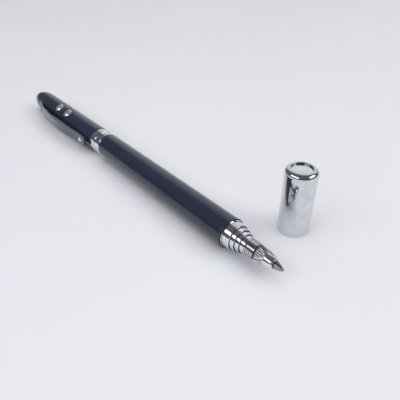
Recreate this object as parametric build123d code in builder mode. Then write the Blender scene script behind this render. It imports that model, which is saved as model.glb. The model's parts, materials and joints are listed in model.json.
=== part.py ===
from build123d import *
from math import cos, pi, radians, sin, sqrt
import os

# Telescopic pen, lying on its barrel, with its cap taken off and standing beside it.
# +X runs along the pen towards the writing tip and +Z is up. The origin is on the pen's axis, at the
# barrel's front end, which the cap's mouth meets when the cap is on. All sizes are in millimetres.
# The button cells set the pen's outside radius, and the refill sets the barrel's length.

# Fits: gaps on the radius or between faces
seat_gap = 0.02
slide_gap = 0.04
stop_gap = 0.1

# Button cells, their insulating sleeve and their contact
cell_count = 4
cell_radius = 3.95
cell_height = 3.6
cell_step = 0.3
cell_shoulder = 0.6
cell_sleeve_wall = 0.11
contact_sheet = 0.3
contact_tab_width = 1.6
contact_tab_length = 3.0

# Front barrel
barrel_wall = 0.4
barrel_edge = 0.2
barrel_rear_edge = 0.1

# Collar in the barrel's mouth, which the cap seats on
collar_wall = 0.41
collar_reach = 2.7
collar_seat = 5.0
collar_edge = 0.35

# Telescopic tubes, numbered from the widest inwards, with their plugs and split friction sleeves
stage_count = 4
stage_wall = 0.2
stage_show = 1.4
rim_length = 0.6
rim_edge = 0.15
plug_flange = 0.8
plug_spigot = 2.0
plug_wall = 0.5
plug_edge = 0.2
first_sleeve_wall = 0.59
sleeve_wall = 0.16
sleeve_length = 3.0
sleeve_split = 1.0

# Nib holder
neck_wall = 0.29
neck_socket = 2.3
neck_shoulder = 0.6
neck_edge = 0.12
neck_margin = 0.2
neck_ring_pitch = 0.4
neck_ring_radius = 0.17
neck_ring_depth = 0.1
waist_depth = 0.5
waist_length = 0.5
grip_drop = 0.18
grip_length = 3.6
grip_taper = 0.34
flute_count = 24
flute_radius = 0.2
flute_fade = 0.02
cone_length = 1.7
cone_wall = 0.255
cone_edge = 0.1

# Refill
refill_radius = 1.175
refill_wall = 0.2
refill_length = 67.0
refill_room = 2.0
point_shoulder = 0.4
point_length = 2.5
point_spigot = 2.0
point_lip = 0.1
point_lip_wall = 0.05
ink_channel = 0.25
ball_radius = 0.35

# Coupling and the two chrome rings of the mid band
coupling_seat = 4.0
coupling_wall = 0.8
band_width = 3.2
band_edge = 0.35
thread_length = 5.8
tail_ring_wall = 0.29
tail_ring_room = 1.0

# Battery spring, standing in a pocket of the coupling
wire_radius = 0.2
coil_radius = 2.4
coil_turns = 4
spring_pocket = 2.0
spring_reach = 2.0

# Tail tube and nose: the nose is an ellipse, cut off short of its own tip
tail_wall = 0.4
tail_taper = 0.25
nose_length = 9.7
nose_cut = 1.3
nose_seat = 5.0
nose_edge = 0.5

# Push buttons, turned from straight up towards the clip
button_turn = 28.0
button_place = 3.44
button_spacing = 7.7
button_radius = 1.8
button_rise = 0.05
button_dome = 0.65
button_rim = 0.25
button_flange = 0.5
button_travel = 0.5

# Circuit board and switches
switch_side = 3.2
plunger_radius = 0.7
plunger_depth = 0.35
board_thickness = 0.8
board_length = 21.0
board_gap = 0.07
board_room = 1.74

# Lamp and laser in the nose
light_wall = 0.3
lamp_radius = 1.5
lamp_length = 5.0
lamp_inset = 3.7
lamp_window = 0.9
laser_radius = 1.45
laser_length = 8.0
laser_wall = 0.3
laser_inset = 5.2
laser_lip = 0.4
laser_window = 0.6
lens_thickness = 1.4
lens_crown = 0.35
diode_length = 2.6
diode_flange = 0.5
lead_radius = 0.22
lead_spacing = 1.2
lead_overlap = 2.0

# Pocket clip: rises are from the barrel's surface to the clip's outer face
clip_thickness = 0.7
clip_width = 4.4
clip_tip_width = 3.6
clip_tip_round = 1.3
clip_edge = 0.2
clip_foot_rise = 0.4
clip_foot_length = 2.0
clip_foot_inset = 0.9
clip_shoulder_place = 6.6
clip_shoulder_rise = 1.45
clip_crest_place = 23.0
clip_crest_rise = 2.65
clip_dip_rise = 1.4
clip_flick = 0.2
clip_ramp = 0.3
clip_ease = 0.12
clip_tip_inset = 1.6
clip_tab_length = 1.2
clip_tab_width = 2.4
clip_tab_depth = 0.7
stud_inset = 5.6
stud_radius = 1.1
stud_dome = 0.5
stud_shank = 0.55
stud_bead_radius = 0.85

# Cap, standing on its mouth
cap_x = 5.6
cap_y = 19.7
cap_wall = 0.35
cap_room = 0.2
cap_shoulder = 1.4
cap_edge = 0.1
magnet_margin = 0.25
magnet_thickness = 0.8
magnet_floor = 0.2
magnet_inset = 0.4
magnet_edge = 0.14
liner_wall = 0.34
liner_length = 7.0
liner_inset = 0.4

# Radii that follow from the cells, the walls and the fits
cell_bore = cell_radius + seat_gap + cell_sleeve_wall + seat_gap
barrel_radius = cell_bore + tail_wall
barrel_bore = barrel_radius - barrel_wall
tail_end_radius = barrel_radius - tail_taper
tail_bore = tail_end_radius - tail_wall
thread_bore = cell_bore - seat_gap - tail_ring_wall
thread_radius = thread_bore - slide_gap
stage_radius = barrel_bore - slide_gap - first_sleeve_wall - seat_gap
stage_step = stage_wall + slide_gap + sleeve_wall + seat_gap
collar_bore = stage_radius + slide_gap
collar_radius = collar_bore + collar_wall
neck_bore = stage_radius - (stage_count - 1) * stage_step + seat_gap
neck_radius = neck_bore + neck_wall
waist_radius = neck_radius - waist_depth
grip_radius = neck_radius - grip_drop
grip_end_radius = grip_radius - grip_taper
nib_bore = refill_radius + seat_gap
cone_end_radius = nib_bore + cone_wall
refill_bore = refill_radius - refill_wall
point_lip_radius = ball_radius + seat_gap + point_lip_wall
button_flange_radius = button_radius + button_rim
laser_bore = laser_radius - laser_wall
liner_bore = collar_radius + slide_gap
cap_bore = liner_bore + liner_wall + seat_gap
cap_radius = cap_bore + cap_wall
magnet_radius = cap_radius - cap_shoulder - magnet_margin

# Places along the pen's axis
floor_z = -barrel_radius
neck_start = collar_reach + (stage_count - 1) * stage_show + stop_gap
neck_length = neck_socket + neck_shoulder
socket_end = neck_start + neck_socket
neck_end = neck_start + neck_length
waist_end = neck_end + waist_length
grip_end = waist_end + grip_length
cone_end = grip_end + cone_length
point_start = cone_end + point_shoulder
tip_end = point_start + point_length
ball_x = tip_end - ball_radius
refill_end = tip_end - refill_length
plug_pitch = plug_flange + plug_spigot + stop_gap
chamber_end = refill_end - refill_room - stage_count * plug_pitch
barrel_end = chamber_end - coupling_seat
band_middle = barrel_end - band_width
tail_ring_front = band_middle - stop_gap
tail_front = tail_ring_front - band_width
thread_end = band_middle - thread_length
cells_front = thread_end - spring_reach
cells_rear = cells_front - cell_count * cell_height
tail_ring_rear = cells_front + tail_ring_room
contact_front = cells_rear - seat_gap
contact_rear = contact_front - contact_sheet
chamber_step = contact_rear - seat_gap
board_front = chamber_step - seat_gap
board_rear = board_front - board_length
nose_front = board_rear - board_room
tail_rear = nose_front - nose_seat
nose_end = tail_rear - nose_length
lamp_front = nose_end + lamp_inset
lamp_rear = lamp_front + lamp_length
laser_front = nose_end + laser_inset
laser_rear = laser_front + laser_length
clip_foot_rear = tail_rear + clip_foot_inset
clip_foot_front = clip_foot_rear + clip_foot_length
clip_tab_x = (clip_foot_rear + clip_foot_front) / 2
clip_tip = tail_front - clip_tip_inset
stud_x = tail_front - stud_inset
button_places = {
    "laser": board_front - button_place,
    "lamp": board_front - button_place - button_spacing,
}

# Heights along the buttons' direction, from the pen's axis
button_out = (0, -sin(radians(button_turn)), cos(radians(button_turn)))
flange_top = sqrt((tail_bore - slide_gap) ** 2 - button_flange_radius**2)
flange_bottom = flange_top - button_flange
switch_top = flange_bottom - button_travel - stop_gap
board_top = board_thickness / 2
board_bottom = -board_top
lamp_offset = lamp_radius + seat_gap + light_wall / 2
laser_offset = -(laser_radius + seat_gap + light_wall / 2)
lamp_lead_offset = board_top + seat_gap + lead_radius
laser_lead_offset = board_bottom - seat_gap - lead_radius

# Heights of the cap's inside above its mouth
cap_inside = tip_end + cap_room
magnet_seat = cap_inside + magnet_floor
cap_height = magnet_seat + magnet_thickness + magnet_inset

# A length that takes a cut from the pen's axis right out through any side
cut_out = 2 * barrel_radius

# Planes that face the clip, and the cap's own upright plane and axis
clip_side = Plane(origin=(0, 0, 0), x_dir=(1, 0, 0), z_dir=(0, 0, -1))
cap_plane = Plane(origin=(cap_x, cap_y, floor_z), x_dir=(1, 0, 0), z_dir=(0, -1, 0))
cap_axis = Axis((cap_x, cap_y, floor_z), (0, 0, 1))


def stage_outside(stage):
    """Outside radius of a tube."""
    return stage_radius - stage * stage_step


def stage_guide(stage):
    """Radius of the bore that a tube slides in."""
    return barrel_bore if stage == 0 else stage_outside(stage - 1) - stage_wall


def stage_front(stage):
    """Front end of a tube, which for the innermost one is inside the nib holder's neck."""
    if stage == stage_count - 1:
        return socket_end
    return collar_reach + (stage + 1) * stage_show


def plug_rear(stage):
    """Rear face of the plug that closes a tube, each resting in front of the plug around it."""
    return chamber_end + stop_gap + stage * plug_pitch


def stage_rear(stage):
    """Rear end of a tube, on its plug's flange."""
    return plug_rear(stage) + plug_flange


def stage_stop(stage):
    """Face that a tube's friction sleeve meets when the tube is pulled right out."""
    return -collar_seat if stage == 0 else stage_front(stage - 1) - rim_length


def stage_stroke(stage):
    """How far a tube slides out."""
    return stage_stop(stage) - stage_rear(stage) - sleeve_length - stop_gap


def tail_radius(x):
    """Outside radius of the tapering tail tube."""
    return barrel_radius - tail_taper * (tail_front - x) / (tail_front - tail_rear)


def band(start, end, inner, outer):
    """A rectangle of a turned profile: a stretch along the axis, between two radii."""
    with Locations(((start + end) / 2, (inner + outer) / 2)):
        Rectangle(abs(end - start), outer - inner)


def rims(part, end):
    """The outermost circle at the front (-1) or rear (0) end of a turned piece."""
    return part.edges().filter_by(GeomType.CIRCLE).group_by(Axis.X)[end].sort_by(SortBy.RADIUS)[-1:]


def widest_rims(part):
    """The circles at both ends of a turned piece's widest stretch."""
    return part.edges().filter_by(GeomType.CIRCLE).group_by(SortBy.RADIUS)[-1]


def level_circles(part, end):
    """The circles at the top (-1) or bottom (0) of an upright turned piece, narrowest first."""
    return part.edges().filter_by(GeomType.CIRCLE).group_by(Axis.Z)[end].sort_by(SortBy.RADIUS)


def button_plane(x, height):
    """A plane square to the buttons' direction, at a height from the pen's axis."""
    return Plane(origin=(x, 0, 0), x_dir=(1, 0, 0), z_dir=button_out).offset(height)


def button_profile(x):
    """A plane through a button's own axis, with local y along the button's direction."""
    facing = (0, -button_out[2], button_out[1])
    return Plane(origin=(x, 0, 0), x_dir=(1, 0, 0), z_dir=facing)


def light_plane(x):
    """A plane square to the pen's axis, with local x along the buttons' direction."""
    return Plane(origin=(x, 0, 0), x_dir=button_out, z_dir=(1, 0, 0))


def light_point(x, offset):
    """A point at an offset from the pen's axis along the buttons' direction."""
    return (x, offset * button_out[1], offset * button_out[2])


def save(piece, name):
    """Label a finished piece and write it to its own file."""
    piece.label = name
    export_step(piece, f"parts/{name}.step")


os.makedirs("parts", exist_ok=True)

# Front barrel
with BuildPart() as front_barrel:
    with BuildSketch(Plane.XZ):
        band(barrel_end, 0, barrel_bore, barrel_radius)
    revolve(axis=Axis.X)
    fillet(rims(front_barrel, -1), barrel_edge)
    fillet(rims(front_barrel, 0), barrel_rear_edge)
save(front_barrel.part, "front_barrel")

# Nose collar: pressed into the barrel, with the stretch that the cap grips standing out
with BuildPart() as nose_collar:
    with BuildSketch(Plane.XZ):
        band(-collar_seat, 0, collar_bore, barrel_bore - seat_gap)
        band(0, collar_reach, collar_bore, collar_radius)
    revolve(axis=Axis.X)
    fillet(rims(nose_collar, -1), collar_edge)
save(nose_collar.part, "nose_collar")

# Telescopic tubes, each with its plug and its split friction sleeve
for stage in range(stage_count):
    outside = stage_outside(stage)
    inside = outside - stage_wall
    front = stage_front(stage)
    rear = stage_rear(stage)
    guide = stage_guide(stage)

    with BuildPart() as stage_tube:
        with BuildSketch(Plane.XZ):
            band(rear, front, inside, outside)
            if stage < stage_count - 1:
                band(front - rim_length, front, stage_outside(stage + 1) + slide_gap, inside)
        revolve(axis=Axis.X)
        fillet(rims(stage_tube, -1), rim_edge)
    save(stage_tube.part, f"stage_{stage + 1}_tube")

    with BuildPart() as stage_plug:
        with BuildSketch(Plane.XZ):
            hole = inside - seat_gap - plug_wall
            band(plug_rear(stage), rear - seat_gap, hole, guide - slide_gap)
            band(plug_rear(stage), rear + plug_spigot, hole, inside - seat_gap)
        revolve(axis=Axis.X)
        chamfer(rims(stage_plug, 0), plug_edge)
    save(stage_plug.part, f"stage_{stage + 1}_plug")

    with BuildPart() as stage_sleeve:
        with BuildSketch(Plane.XZ):
            band(rear, rear + sleeve_length, outside + seat_gap, guide - slide_gap)
        revolve(axis=Axis.X)
        with BuildSketch(Plane.XY):
            with Locations((rear + sleeve_length / 2, 0)):
                Rectangle(sleeve_length + 2 * stop_gap, sleeve_split)
        extrude(amount=cut_out, mode=Mode.SUBTRACT)
    save(stage_sleeve.part, f"stage_{stage + 1}_sleeve")
    print(f"stage {stage + 1} slides {stage_stroke(stage):.2f} mm")

# Nib holder: ringed neck, waist, fluted grip that runs out into a plain cone
neck_ring_count = int((neck_length - 2 * neck_margin) / neck_ring_pitch)
with BuildPart() as nib_holder:
    with BuildSketch(Plane.XZ):
        with BuildLine():
            Polyline(
                (neck_start, neck_bore),
                (neck_start, neck_radius),
                (neck_end, neck_radius),
                (neck_end, waist_radius),
                (waist_end, waist_radius),
                (waist_end, grip_radius),
                (grip_end, grip_end_radius),
                (cone_end, cone_end_radius),
                (cone_end, nib_bore),
                (socket_end, nib_bore),
                (socket_end, neck_bore),
                close=True,
            )
        make_face()
        with Locations(((neck_start + neck_end) / 2, neck_radius + neck_ring_radius - neck_ring_depth)):
            with GridLocations(neck_ring_pitch, 1, neck_ring_count, 1):
                Circle(neck_ring_radius, mode=Mode.SUBTRACT)
    revolve(axis=Axis.X)
    fillet(rims(nib_holder, -1), cone_edge)
    fillet(rims(nib_holder, 0), neck_edge)
    flute_end = Vector(grip_end, 0, grip_end_radius + flute_radius + flute_fade)
    flute_run = Vector(waist_end, 0, grip_radius) - flute_end
    with BuildSketch(Plane(origin=flute_end, z_dir=flute_run)):
        Circle(flute_radius)
    flute = extrude(amount=flute_run.length + stop_gap, mode=Mode.PRIVATE)
    add([flute.rotate(Axis.X, turn * 360 / flute_count) for turn in range(flute_count)], mode=Mode.SUBTRACT)
save(nib_holder.part, "nib_holder")

# Refill: ink tube, point and writing ball
with BuildPart() as refill_tube:
    with BuildSketch(Plane.XZ):
        band(refill_end, cone_end, refill_bore, refill_radius)
    revolve(axis=Axis.X)
save(refill_tube.part, "refill_tube")

with BuildPart() as refill_tip:
    with BuildSketch(Plane.XZ):
        with BuildLine():
            Polyline(
                (cone_end - point_spigot, ink_channel),
                (cone_end - point_spigot, refill_bore - seat_gap),
                (cone_end, refill_bore - seat_gap),
                (cone_end, refill_radius),
                (point_start, refill_radius),
                (ball_x + point_lip, point_lip_radius),
                (ball_x + point_lip, ink_channel),
                close=True,
            )
        make_face()
    revolve(axis=Axis.X)
    with Locations((ball_x, 0, 0)):
        Sphere(ball_radius + seat_gap, mode=Mode.SUBTRACT)
save(refill_tip.part, "refill_tip")

with BuildPart() as writing_ball:
    with Locations((ball_x, 0, 0)):
        Sphere(ball_radius)
save(writing_ball.part, "writing_ball")

# Coupling: cup pressed into the barrel, front ring of the mid band, screw spigot with the spring's pocket
with BuildPart() as coupling:
    with BuildSketch(Plane.XZ):
        band(barrel_end, chamber_end, barrel_bore - seat_gap - coupling_wall, barrel_bore - seat_gap)
        band(band_middle, barrel_end, 0, barrel_radius)
        band(thread_end + spring_pocket, band_middle, 0, thread_radius)
        band(thread_end, thread_end + spring_pocket, coil_radius + wire_radius + slide_gap, thread_radius)
    revolve(axis=Axis.X)
    fillet(widest_rims(coupling), band_edge)
    chamfer(rims(coupling, 0), band_edge)
save(coupling.part, "coupling")

# Battery spring: one wire wound as tangent arcs, two to each quarter turn
spring_start = thread_end + spring_pocket - seat_gap - wire_radius
spring_rise = (cells_front + seat_gap + wire_radius - spring_start) / coil_turns
quarters = 4 * coil_turns


def coil_point(turn):
    """A point on the spring's middle line."""
    angle = 2 * pi * turn
    return Vector(spring_start + spring_rise * turn, coil_radius * cos(angle), coil_radius * sin(angle))


def coil_heading(turn):
    """The unit direction of the spring's middle line."""
    angle = 2 * pi * turn
    round_turn = 2 * pi * coil_radius
    return Vector(spring_rise, -round_turn * sin(angle), round_turn * cos(angle)).normalized()


with BuildPart() as battery_spring:
    with BuildLine():
        for quarter in range(quarters):
            first, last = coil_point(quarter / 4), coil_point((quarter + 1) / 4)
            leaving, arriving = coil_heading(quarter / 4), coil_heading((quarter + 1) / 4)
            chord = last - first
            along = chord.dot(leaving + arriving)
            spread = 2 * (1 - leaving.dot(arriving))
            reach = (sqrt(along**2 + spread * chord.dot(chord)) - along) / spread
            corner, next_corner = first + leaving * reach, last - arriving * reach
            joint = (corner + next_corner) / 2
            TangentArc(first, joint, tangent=leaving)
            TangentArc(joint, last, tangent=next_corner - corner)
    with BuildSketch(Plane(origin=coil_point(0), z_dir=coil_heading(0))):
        Circle(wire_radius)
    sweep()
save(battery_spring.part, "battery_spring")
print(f"battery spring's least gap between turns {abs(spring_rise) - 2 * wire_radius:.2f} mm")

# Tail ring: rear ring of the mid band, screwed onto the coupling and pressed into the tail tube
with BuildPart() as tail_ring:
    with BuildSketch(Plane.XZ):
        band(tail_front, tail_ring_front, thread_bore, barrel_radius)
        band(tail_ring_rear, tail_front, thread_bore, cell_bore - seat_gap)
    revolve(axis=Axis.X)
    fillet(widest_rims(tail_ring), band_edge)
save(tail_ring.part, "tail_ring")

# Tail tube: tapering, with a wide bore for the cells and a narrower one behind it
with BuildPart() as tail_tube:
    with BuildSketch(Plane.XZ):
        with BuildLine():
            Polyline(
                (tail_front, cell_bore),
                (tail_front, barrel_radius),
                (tail_rear, tail_end_radius),
                (tail_rear, tail_bore),
                (chamber_step, tail_bore),
                (chamber_step, cell_bore),
                close=True,
            )
        make_face()
    revolve(axis=Axis.X)
    for place in button_places.values():
        with BuildSketch(button_plane(place, 0)):
            Circle(button_radius + slide_gap)
        extrude(amount=cut_out, mode=Mode.SUBTRACT)
    with BuildSketch(Plane.XZ):
        with Locations((clip_tab_x, 0)):
            Rectangle(clip_tab_length + 2 * seat_gap, clip_tab_width + 2 * seat_gap)
    extrude(amount=cut_out, mode=Mode.SUBTRACT)
save(tail_tube.part, "tail_tube")

# Tail nose: bullet end with the bores of the lamp and the laser and their two windows
with BuildPart() as tail_nose:
    with BuildSketch(Plane.XZ):
        with BuildLine():
            bullet = EllipticalCenterArc(
                (tail_rear, 0), nose_length + nose_cut, tail_end_radius, start_angle=90, arc_size=90
            )
            Line(bullet @ 1, (tail_rear, 0))
            Line((tail_rear, 0), bullet @ 0)
        make_face()
        with Locations((nose_end - nose_cut, tail_end_radius / 2)):
            Rectangle(2 * nose_cut, tail_end_radius, mode=Mode.SUBTRACT)
        band(tail_rear, nose_front, 0, tail_bore - seat_gap)
    revolve(axis=Axis.X)
    fillet(rims(tail_nose, 0), nose_edge)
    with BuildSketch(light_plane(nose_front)):
        with Locations((lamp_offset, 0)):
            Circle(lamp_radius + seat_gap)
    extrude(amount=lamp_front + lamp_radius - nose_front, mode=Mode.SUBTRACT)
    with Locations(light_point(lamp_front + lamp_radius, lamp_offset)):
        Sphere(lamp_radius + seat_gap, mode=Mode.SUBTRACT)
    with BuildSketch(light_plane(nose_front)):
        with Locations((laser_offset, 0)):
            Circle(laser_radius + seat_gap)
    extrude(amount=laser_front - seat_gap - nose_front, mode=Mode.SUBTRACT)
    with BuildSketch(light_plane(tail_rear)):
        with Locations((lamp_offset, 0)):
            Circle(lamp_window)
        with Locations((laser_offset, 0)):
            Circle(laser_window)
    extrude(amount=-nose_length - stop_gap, mode=Mode.SUBTRACT)
    with BuildSketch(Plane.XZ.offset(tail_bore - clip_tab_depth - seat_gap)):
        with Locations((clip_tab_x, 0)):
            Rectangle(clip_tab_length + 2 * seat_gap, clip_tab_width + 2 * seat_gap)
    extrude(amount=cut_out, mode=Mode.SUBTRACT)
save(tail_nose.part, "tail_nose")

# Clip: bowed strip on a foot that is hollowed to sit on the tail tube, held by a tab in the nose
clip_root = tail_radius(clip_foot_rear) + clip_foot_rise
clip_dip = barrel_radius + clip_dip_rise
clip_places = [
    (clip_foot_front, clip_root),
    (clip_foot_rear + clip_shoulder_place, barrel_radius + clip_shoulder_rise),
    (clip_foot_rear + clip_crest_place, barrel_radius + clip_crest_rise),
    (stud_x, clip_dip),
    (clip_tip, clip_dip + clip_flick),
]
clip_slopes = [(1, clip_ramp), (1, clip_ease), (1, 0), (1, 0), (1, clip_ease)]
clip_inner_places = [(x, out - clip_thickness) for x, out in clip_places]
with BuildPart() as clip:
    with BuildSketch(clip_side):
        with BuildLine():
            outer = Spline(*clip_places, tangents=clip_slopes)
            inner = Spline(*clip_inner_places, tangents=clip_slopes)
            Line(outer @ 0, inner @ 0)
            Line(outer @ 1, inner @ 1)
        make_face()
        band(clip_foot_rear, clip_foot_front, 0, clip_root)
    extrude(amount=clip_width, both=True)
    with BuildSketch(Plane.XZ) as plan:
        with BuildLine():
            Polyline(
                (clip_foot_rear, -clip_width / 2),
                (clip_foot_rear, clip_width / 2),
                (clip_tip, clip_tip_width / 2),
                (clip_tip, -clip_tip_width / 2),
                close=True,
            )
        make_face()
        fillet(plan.vertices().group_by(Axis.X)[-1], clip_tip_round)
    extrude(amount=cut_out, mode=Mode.INTERSECT)
    fillet(clip.faces().sort_by(Axis.Y)[0].edges(), clip_edge)
    with BuildSketch(Plane.XZ):
        with BuildLine():
            Polyline(
                (tail_front, 0),
                (tail_front, tail_radius(tail_front) + seat_gap),
                (tail_rear, tail_radius(tail_rear) + seat_gap),
                (tail_rear, 0),
                close=True,
            )
        make_face()
    revolve(axis=Axis.X, mode=Mode.SUBTRACT)
    with BuildSketch(Plane.XZ.offset(tail_bore - clip_tab_depth)):
        with Locations((clip_tab_x, 0)):
            Rectangle(clip_tab_length, clip_tab_width)
    extrude(amount=clip_tab_depth + tail_wall + clip_foot_rise / 2)
    with BuildSketch(Plane.XZ):
        with Locations((stud_x, 0)):
            Circle(stud_shank + seat_gap)
    extrude(amount=cut_out, mode=Mode.SUBTRACT)
save(clip.part, "clip")

# Clip stud: domed head outside, shank through the clip and a round bead that rides on the tail tube
stud_profile = Plane(origin=(stud_x, 0, 0), x_dir=(1, 0, 0), z_dir=(0, 0, -1))
stud_head = clip_dip + seat_gap
stud_bead = clip_dip - clip_thickness - seat_gap
stud_foot = tail_radius(stud_x) + slide_gap
with BuildPart() as clip_stud:
    with BuildSketch(stud_profile):
        with BuildLine():
            TangentArc((0, stud_head + stud_dome), (stud_radius, stud_head), tangent=(1, 0))
            Polyline(
                (stud_radius, stud_head),
                (stud_shank, stud_head),
                (stud_shank, stud_bead),
                (stud_bead_radius, stud_bead),
            )
            bead = TangentArc((0, stud_foot), (stud_bead_radius, stud_bead), tangent=(1, 0))
            Line(bead @ 0, (0, stud_head + stud_dome))
        make_face()
    revolve(axis=Axis((stud_x, 0, 0), (0, -1, 0)))
save(clip_stud.part, "clip_stud")

# Button cells, stepped at the rim like the real ones, in their insulating sleeve
with BuildPart() as button_cells:
    for cell in range(cell_count):
        cell_front = cells_front - cell * cell_height
        cell_back = cell_front - cell_height + seat_gap
        with BuildSketch(Plane.XZ):
            band(cell_back, cell_front - cell_step, 0, cell_radius)
            band(cell_back, cell_front, 0, cell_radius - cell_shoulder)
        revolve(axis=Axis.X)
save(button_cells.part, "button_cells")

with BuildPart() as cell_sleeve:
    with BuildSketch(Plane.XZ):
        band(cells_rear, cells_front, cell_radius + seat_gap, cell_bore - seat_gap)
    revolve(axis=Axis.X)
save(cell_sleeve.part, "cell_sleeve")

# Cell contact: disc behind the cells with a tab under the circuit board
with BuildPart() as cell_contact:
    with BuildSketch(Plane.YZ.offset(contact_rear)):
        Circle(cell_radius)
    extrude(amount=contact_sheet)
    with BuildSketch(light_plane(contact_rear)):
        with Locations((board_bottom - seat_gap - contact_sheet / 2, 0)):
            Rectangle(contact_sheet, contact_tab_width)
    extrude(amount=-contact_tab_length)
save(cell_contact.part, "cell_contact")

# Circuit board, its long edges resting in the tail tube's bore
board_width = 2 * sqrt((tail_bore - board_gap) ** 2 - board_top**2)
with BuildPart() as circuit_board:
    with BuildSketch(button_plane((board_front + board_rear) / 2, board_bottom)):
        Rectangle(board_length, board_width)
    extrude(amount=board_thickness)
save(circuit_board.part, "circuit_board")

# Switches on the board, one under each button, each with a well for its plunger
with BuildPart() as tact_switches:
    for place in button_places.values():
        with BuildSketch(button_plane(place, board_top)):
            Rectangle(switch_side, switch_side)
        extrude(amount=switch_top - board_top)
    for place in button_places.values():
        with BuildSketch(button_plane(place, switch_top)):
            Circle(plunger_radius + slide_gap)
        extrude(amount=-plunger_depth - button_travel - stop_gap, mode=Mode.SUBTRACT)
save(tact_switches.part, "tact_switches")

# Push buttons: domed head and stem through the tail tube, kept in by a flange, each on its plunger
for name, place in button_places.items():
    edge = tail_radius(place) + button_rise
    with BuildPart() as button:
        with BuildSketch(button_profile(place)):
            with BuildLine():
                TangentArc((0, edge + button_dome), (button_radius, edge), tangent=(1, 0))
                Polyline(
                    (button_radius, edge),
                    (button_radius, flange_top),
                    (button_flange_radius, flange_top),
                    (button_flange_radius, flange_bottom),
                    (0, flange_bottom),
                    (0, edge + button_dome),
                )
            make_face()
        revolve(axis=Axis((place, 0, 0), button_out))
    save(button.part, f"{name}_button")

    with BuildPart() as plunger:
        with BuildSketch(button_plane(place, switch_top - plunger_depth)):
            Circle(plunger_radius)
        extrude(amount=flange_bottom - seat_gap - switch_top + plunger_depth)
    save(plunger.part, f"{name}_plunger")

# Lamp: clear domed body and its two leads, which lie on the board
with BuildPart() as lamp:
    with BuildSketch(light_plane(lamp_rear)):
        with Locations((lamp_offset, 0)):
            Circle(lamp_radius)
    extrude(amount=-lamp_length + lamp_radius)
    with Locations(light_point(lamp_front + lamp_radius, lamp_offset)):
        Sphere(lamp_radius)
save(lamp.part, "lamp")

with BuildPart() as lamp_leads:
    with BuildSketch(light_plane(lamp_rear + seat_gap)):
        with Locations((lamp_lead_offset, 0)):
            with GridLocations(1, lead_spacing, 1, 2):
                Circle(lead_radius)
    extrude(amount=board_rear + lead_overlap - lamp_rear)
save(lamp_leads.part, "lamp_leads")

# Laser: housing with a lip that holds the lens, and the diode with its leads under the board
laser_axis = Axis(light_point(0, laser_offset), (1, 0, 0))
laser_profile = Plane(origin=light_point(0, laser_offset), x_dir=(1, 0, 0), z_dir=(0, -1, 0))
with BuildPart() as laser_housing:
    with BuildSketch(laser_profile):
        band(laser_front, laser_rear, laser_bore, laser_radius)
        band(laser_front, laser_front + laser_lip, laser_window, laser_bore)
    revolve(axis=laser_axis)
save(laser_housing.part, "laser_housing")

lens_radius = laser_bore - seat_gap
lens_front = laser_front + laser_lip + seat_gap
lens_rear = lens_front + lens_thickness
with BuildPart() as laser_lens:
    with BuildSketch(laser_profile):
        with BuildLine():
            crown = TangentArc((lens_rear + lens_crown, 0), (lens_rear, lens_radius), tangent=(0, 1))
            Line(crown @ 1, (lens_front, lens_radius))
            Line((lens_front, lens_radius), (lens_front, 0))
            Line((lens_front, 0), crown @ 0)
        make_face()
    revolve(axis=laser_axis)
save(laser_lens.part, "laser_lens")

with BuildPart() as laser_diode:
    with BuildSketch(laser_profile):
        band(laser_rear - diode_length, laser_rear + diode_flange, 0, laser_bore - seat_gap)
        band(laser_rear + seat_gap, laser_rear + diode_flange, 0, laser_radius)
    revolve(axis=laser_axis)
    with BuildSketch(light_plane(laser_rear)):
        with Locations((laser_lead_offset, 0)):
            with GridLocations(1, lead_spacing, 1, 2):
                Circle(lead_radius)
    extrude(amount=board_rear + lead_overlap - laser_rear)
save(laser_diode.part, "laser_diode")

# Cap: drawn shell with a rounded shoulder, the magnet let into its end and the liner in its mouth
with BuildPart() as cap_shell:
    with BuildSketch(cap_plane):
        with BuildLine():
            Polyline(
                (cap_bore, 0),
                (cap_radius, 0),
                (cap_radius, cap_height),
                (magnet_radius + seat_gap, cap_height),
                (magnet_radius + seat_gap, magnet_seat),
                (0, magnet_seat),
                (0, cap_inside),
                (cap_bore, cap_inside),
                close=True,
            )
        make_face()
    revolve(axis=cap_axis)
    fillet(level_circles(cap_shell, -1)[-1:], cap_shoulder)
    chamfer(level_circles(cap_shell, -1)[:1], magnet_edge)
    fillet(level_circles(cap_shell, 0)[-1:], cap_edge)
save(cap_shell.part, "cap_shell")

with BuildPart() as cap_magnet:
    with BuildSketch(Plane(origin=(cap_x, cap_y, floor_z + magnet_seat + seat_gap))):
        Circle(magnet_radius)
    extrude(amount=magnet_thickness - seat_gap)
    chamfer(level_circles(cap_magnet, -1), magnet_edge)
save(cap_magnet.part, "cap_magnet")

with BuildPart() as cap_liner:
    with BuildSketch(cap_plane):
        with Locations((liner_bore + liner_wall / 2, liner_inset + liner_length / 2)):
            Rectangle(liner_wall, liner_length)
    revolve(axis=cap_axis)
    chamfer(level_circles(cap_liner, 0)[:1], cap_edge)
save(cap_liner.part, "cap_liner")
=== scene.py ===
"""Looks of a telescopic pen and its cap, modelled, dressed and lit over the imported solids."""

import json
import logging
import math
from abc import ABC, abstractmethod
from collections.abc import Callable, Sequence
from dataclasses import dataclass, field, replace
from enum import Enum, IntEnum
from typing import NamedTuple

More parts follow.
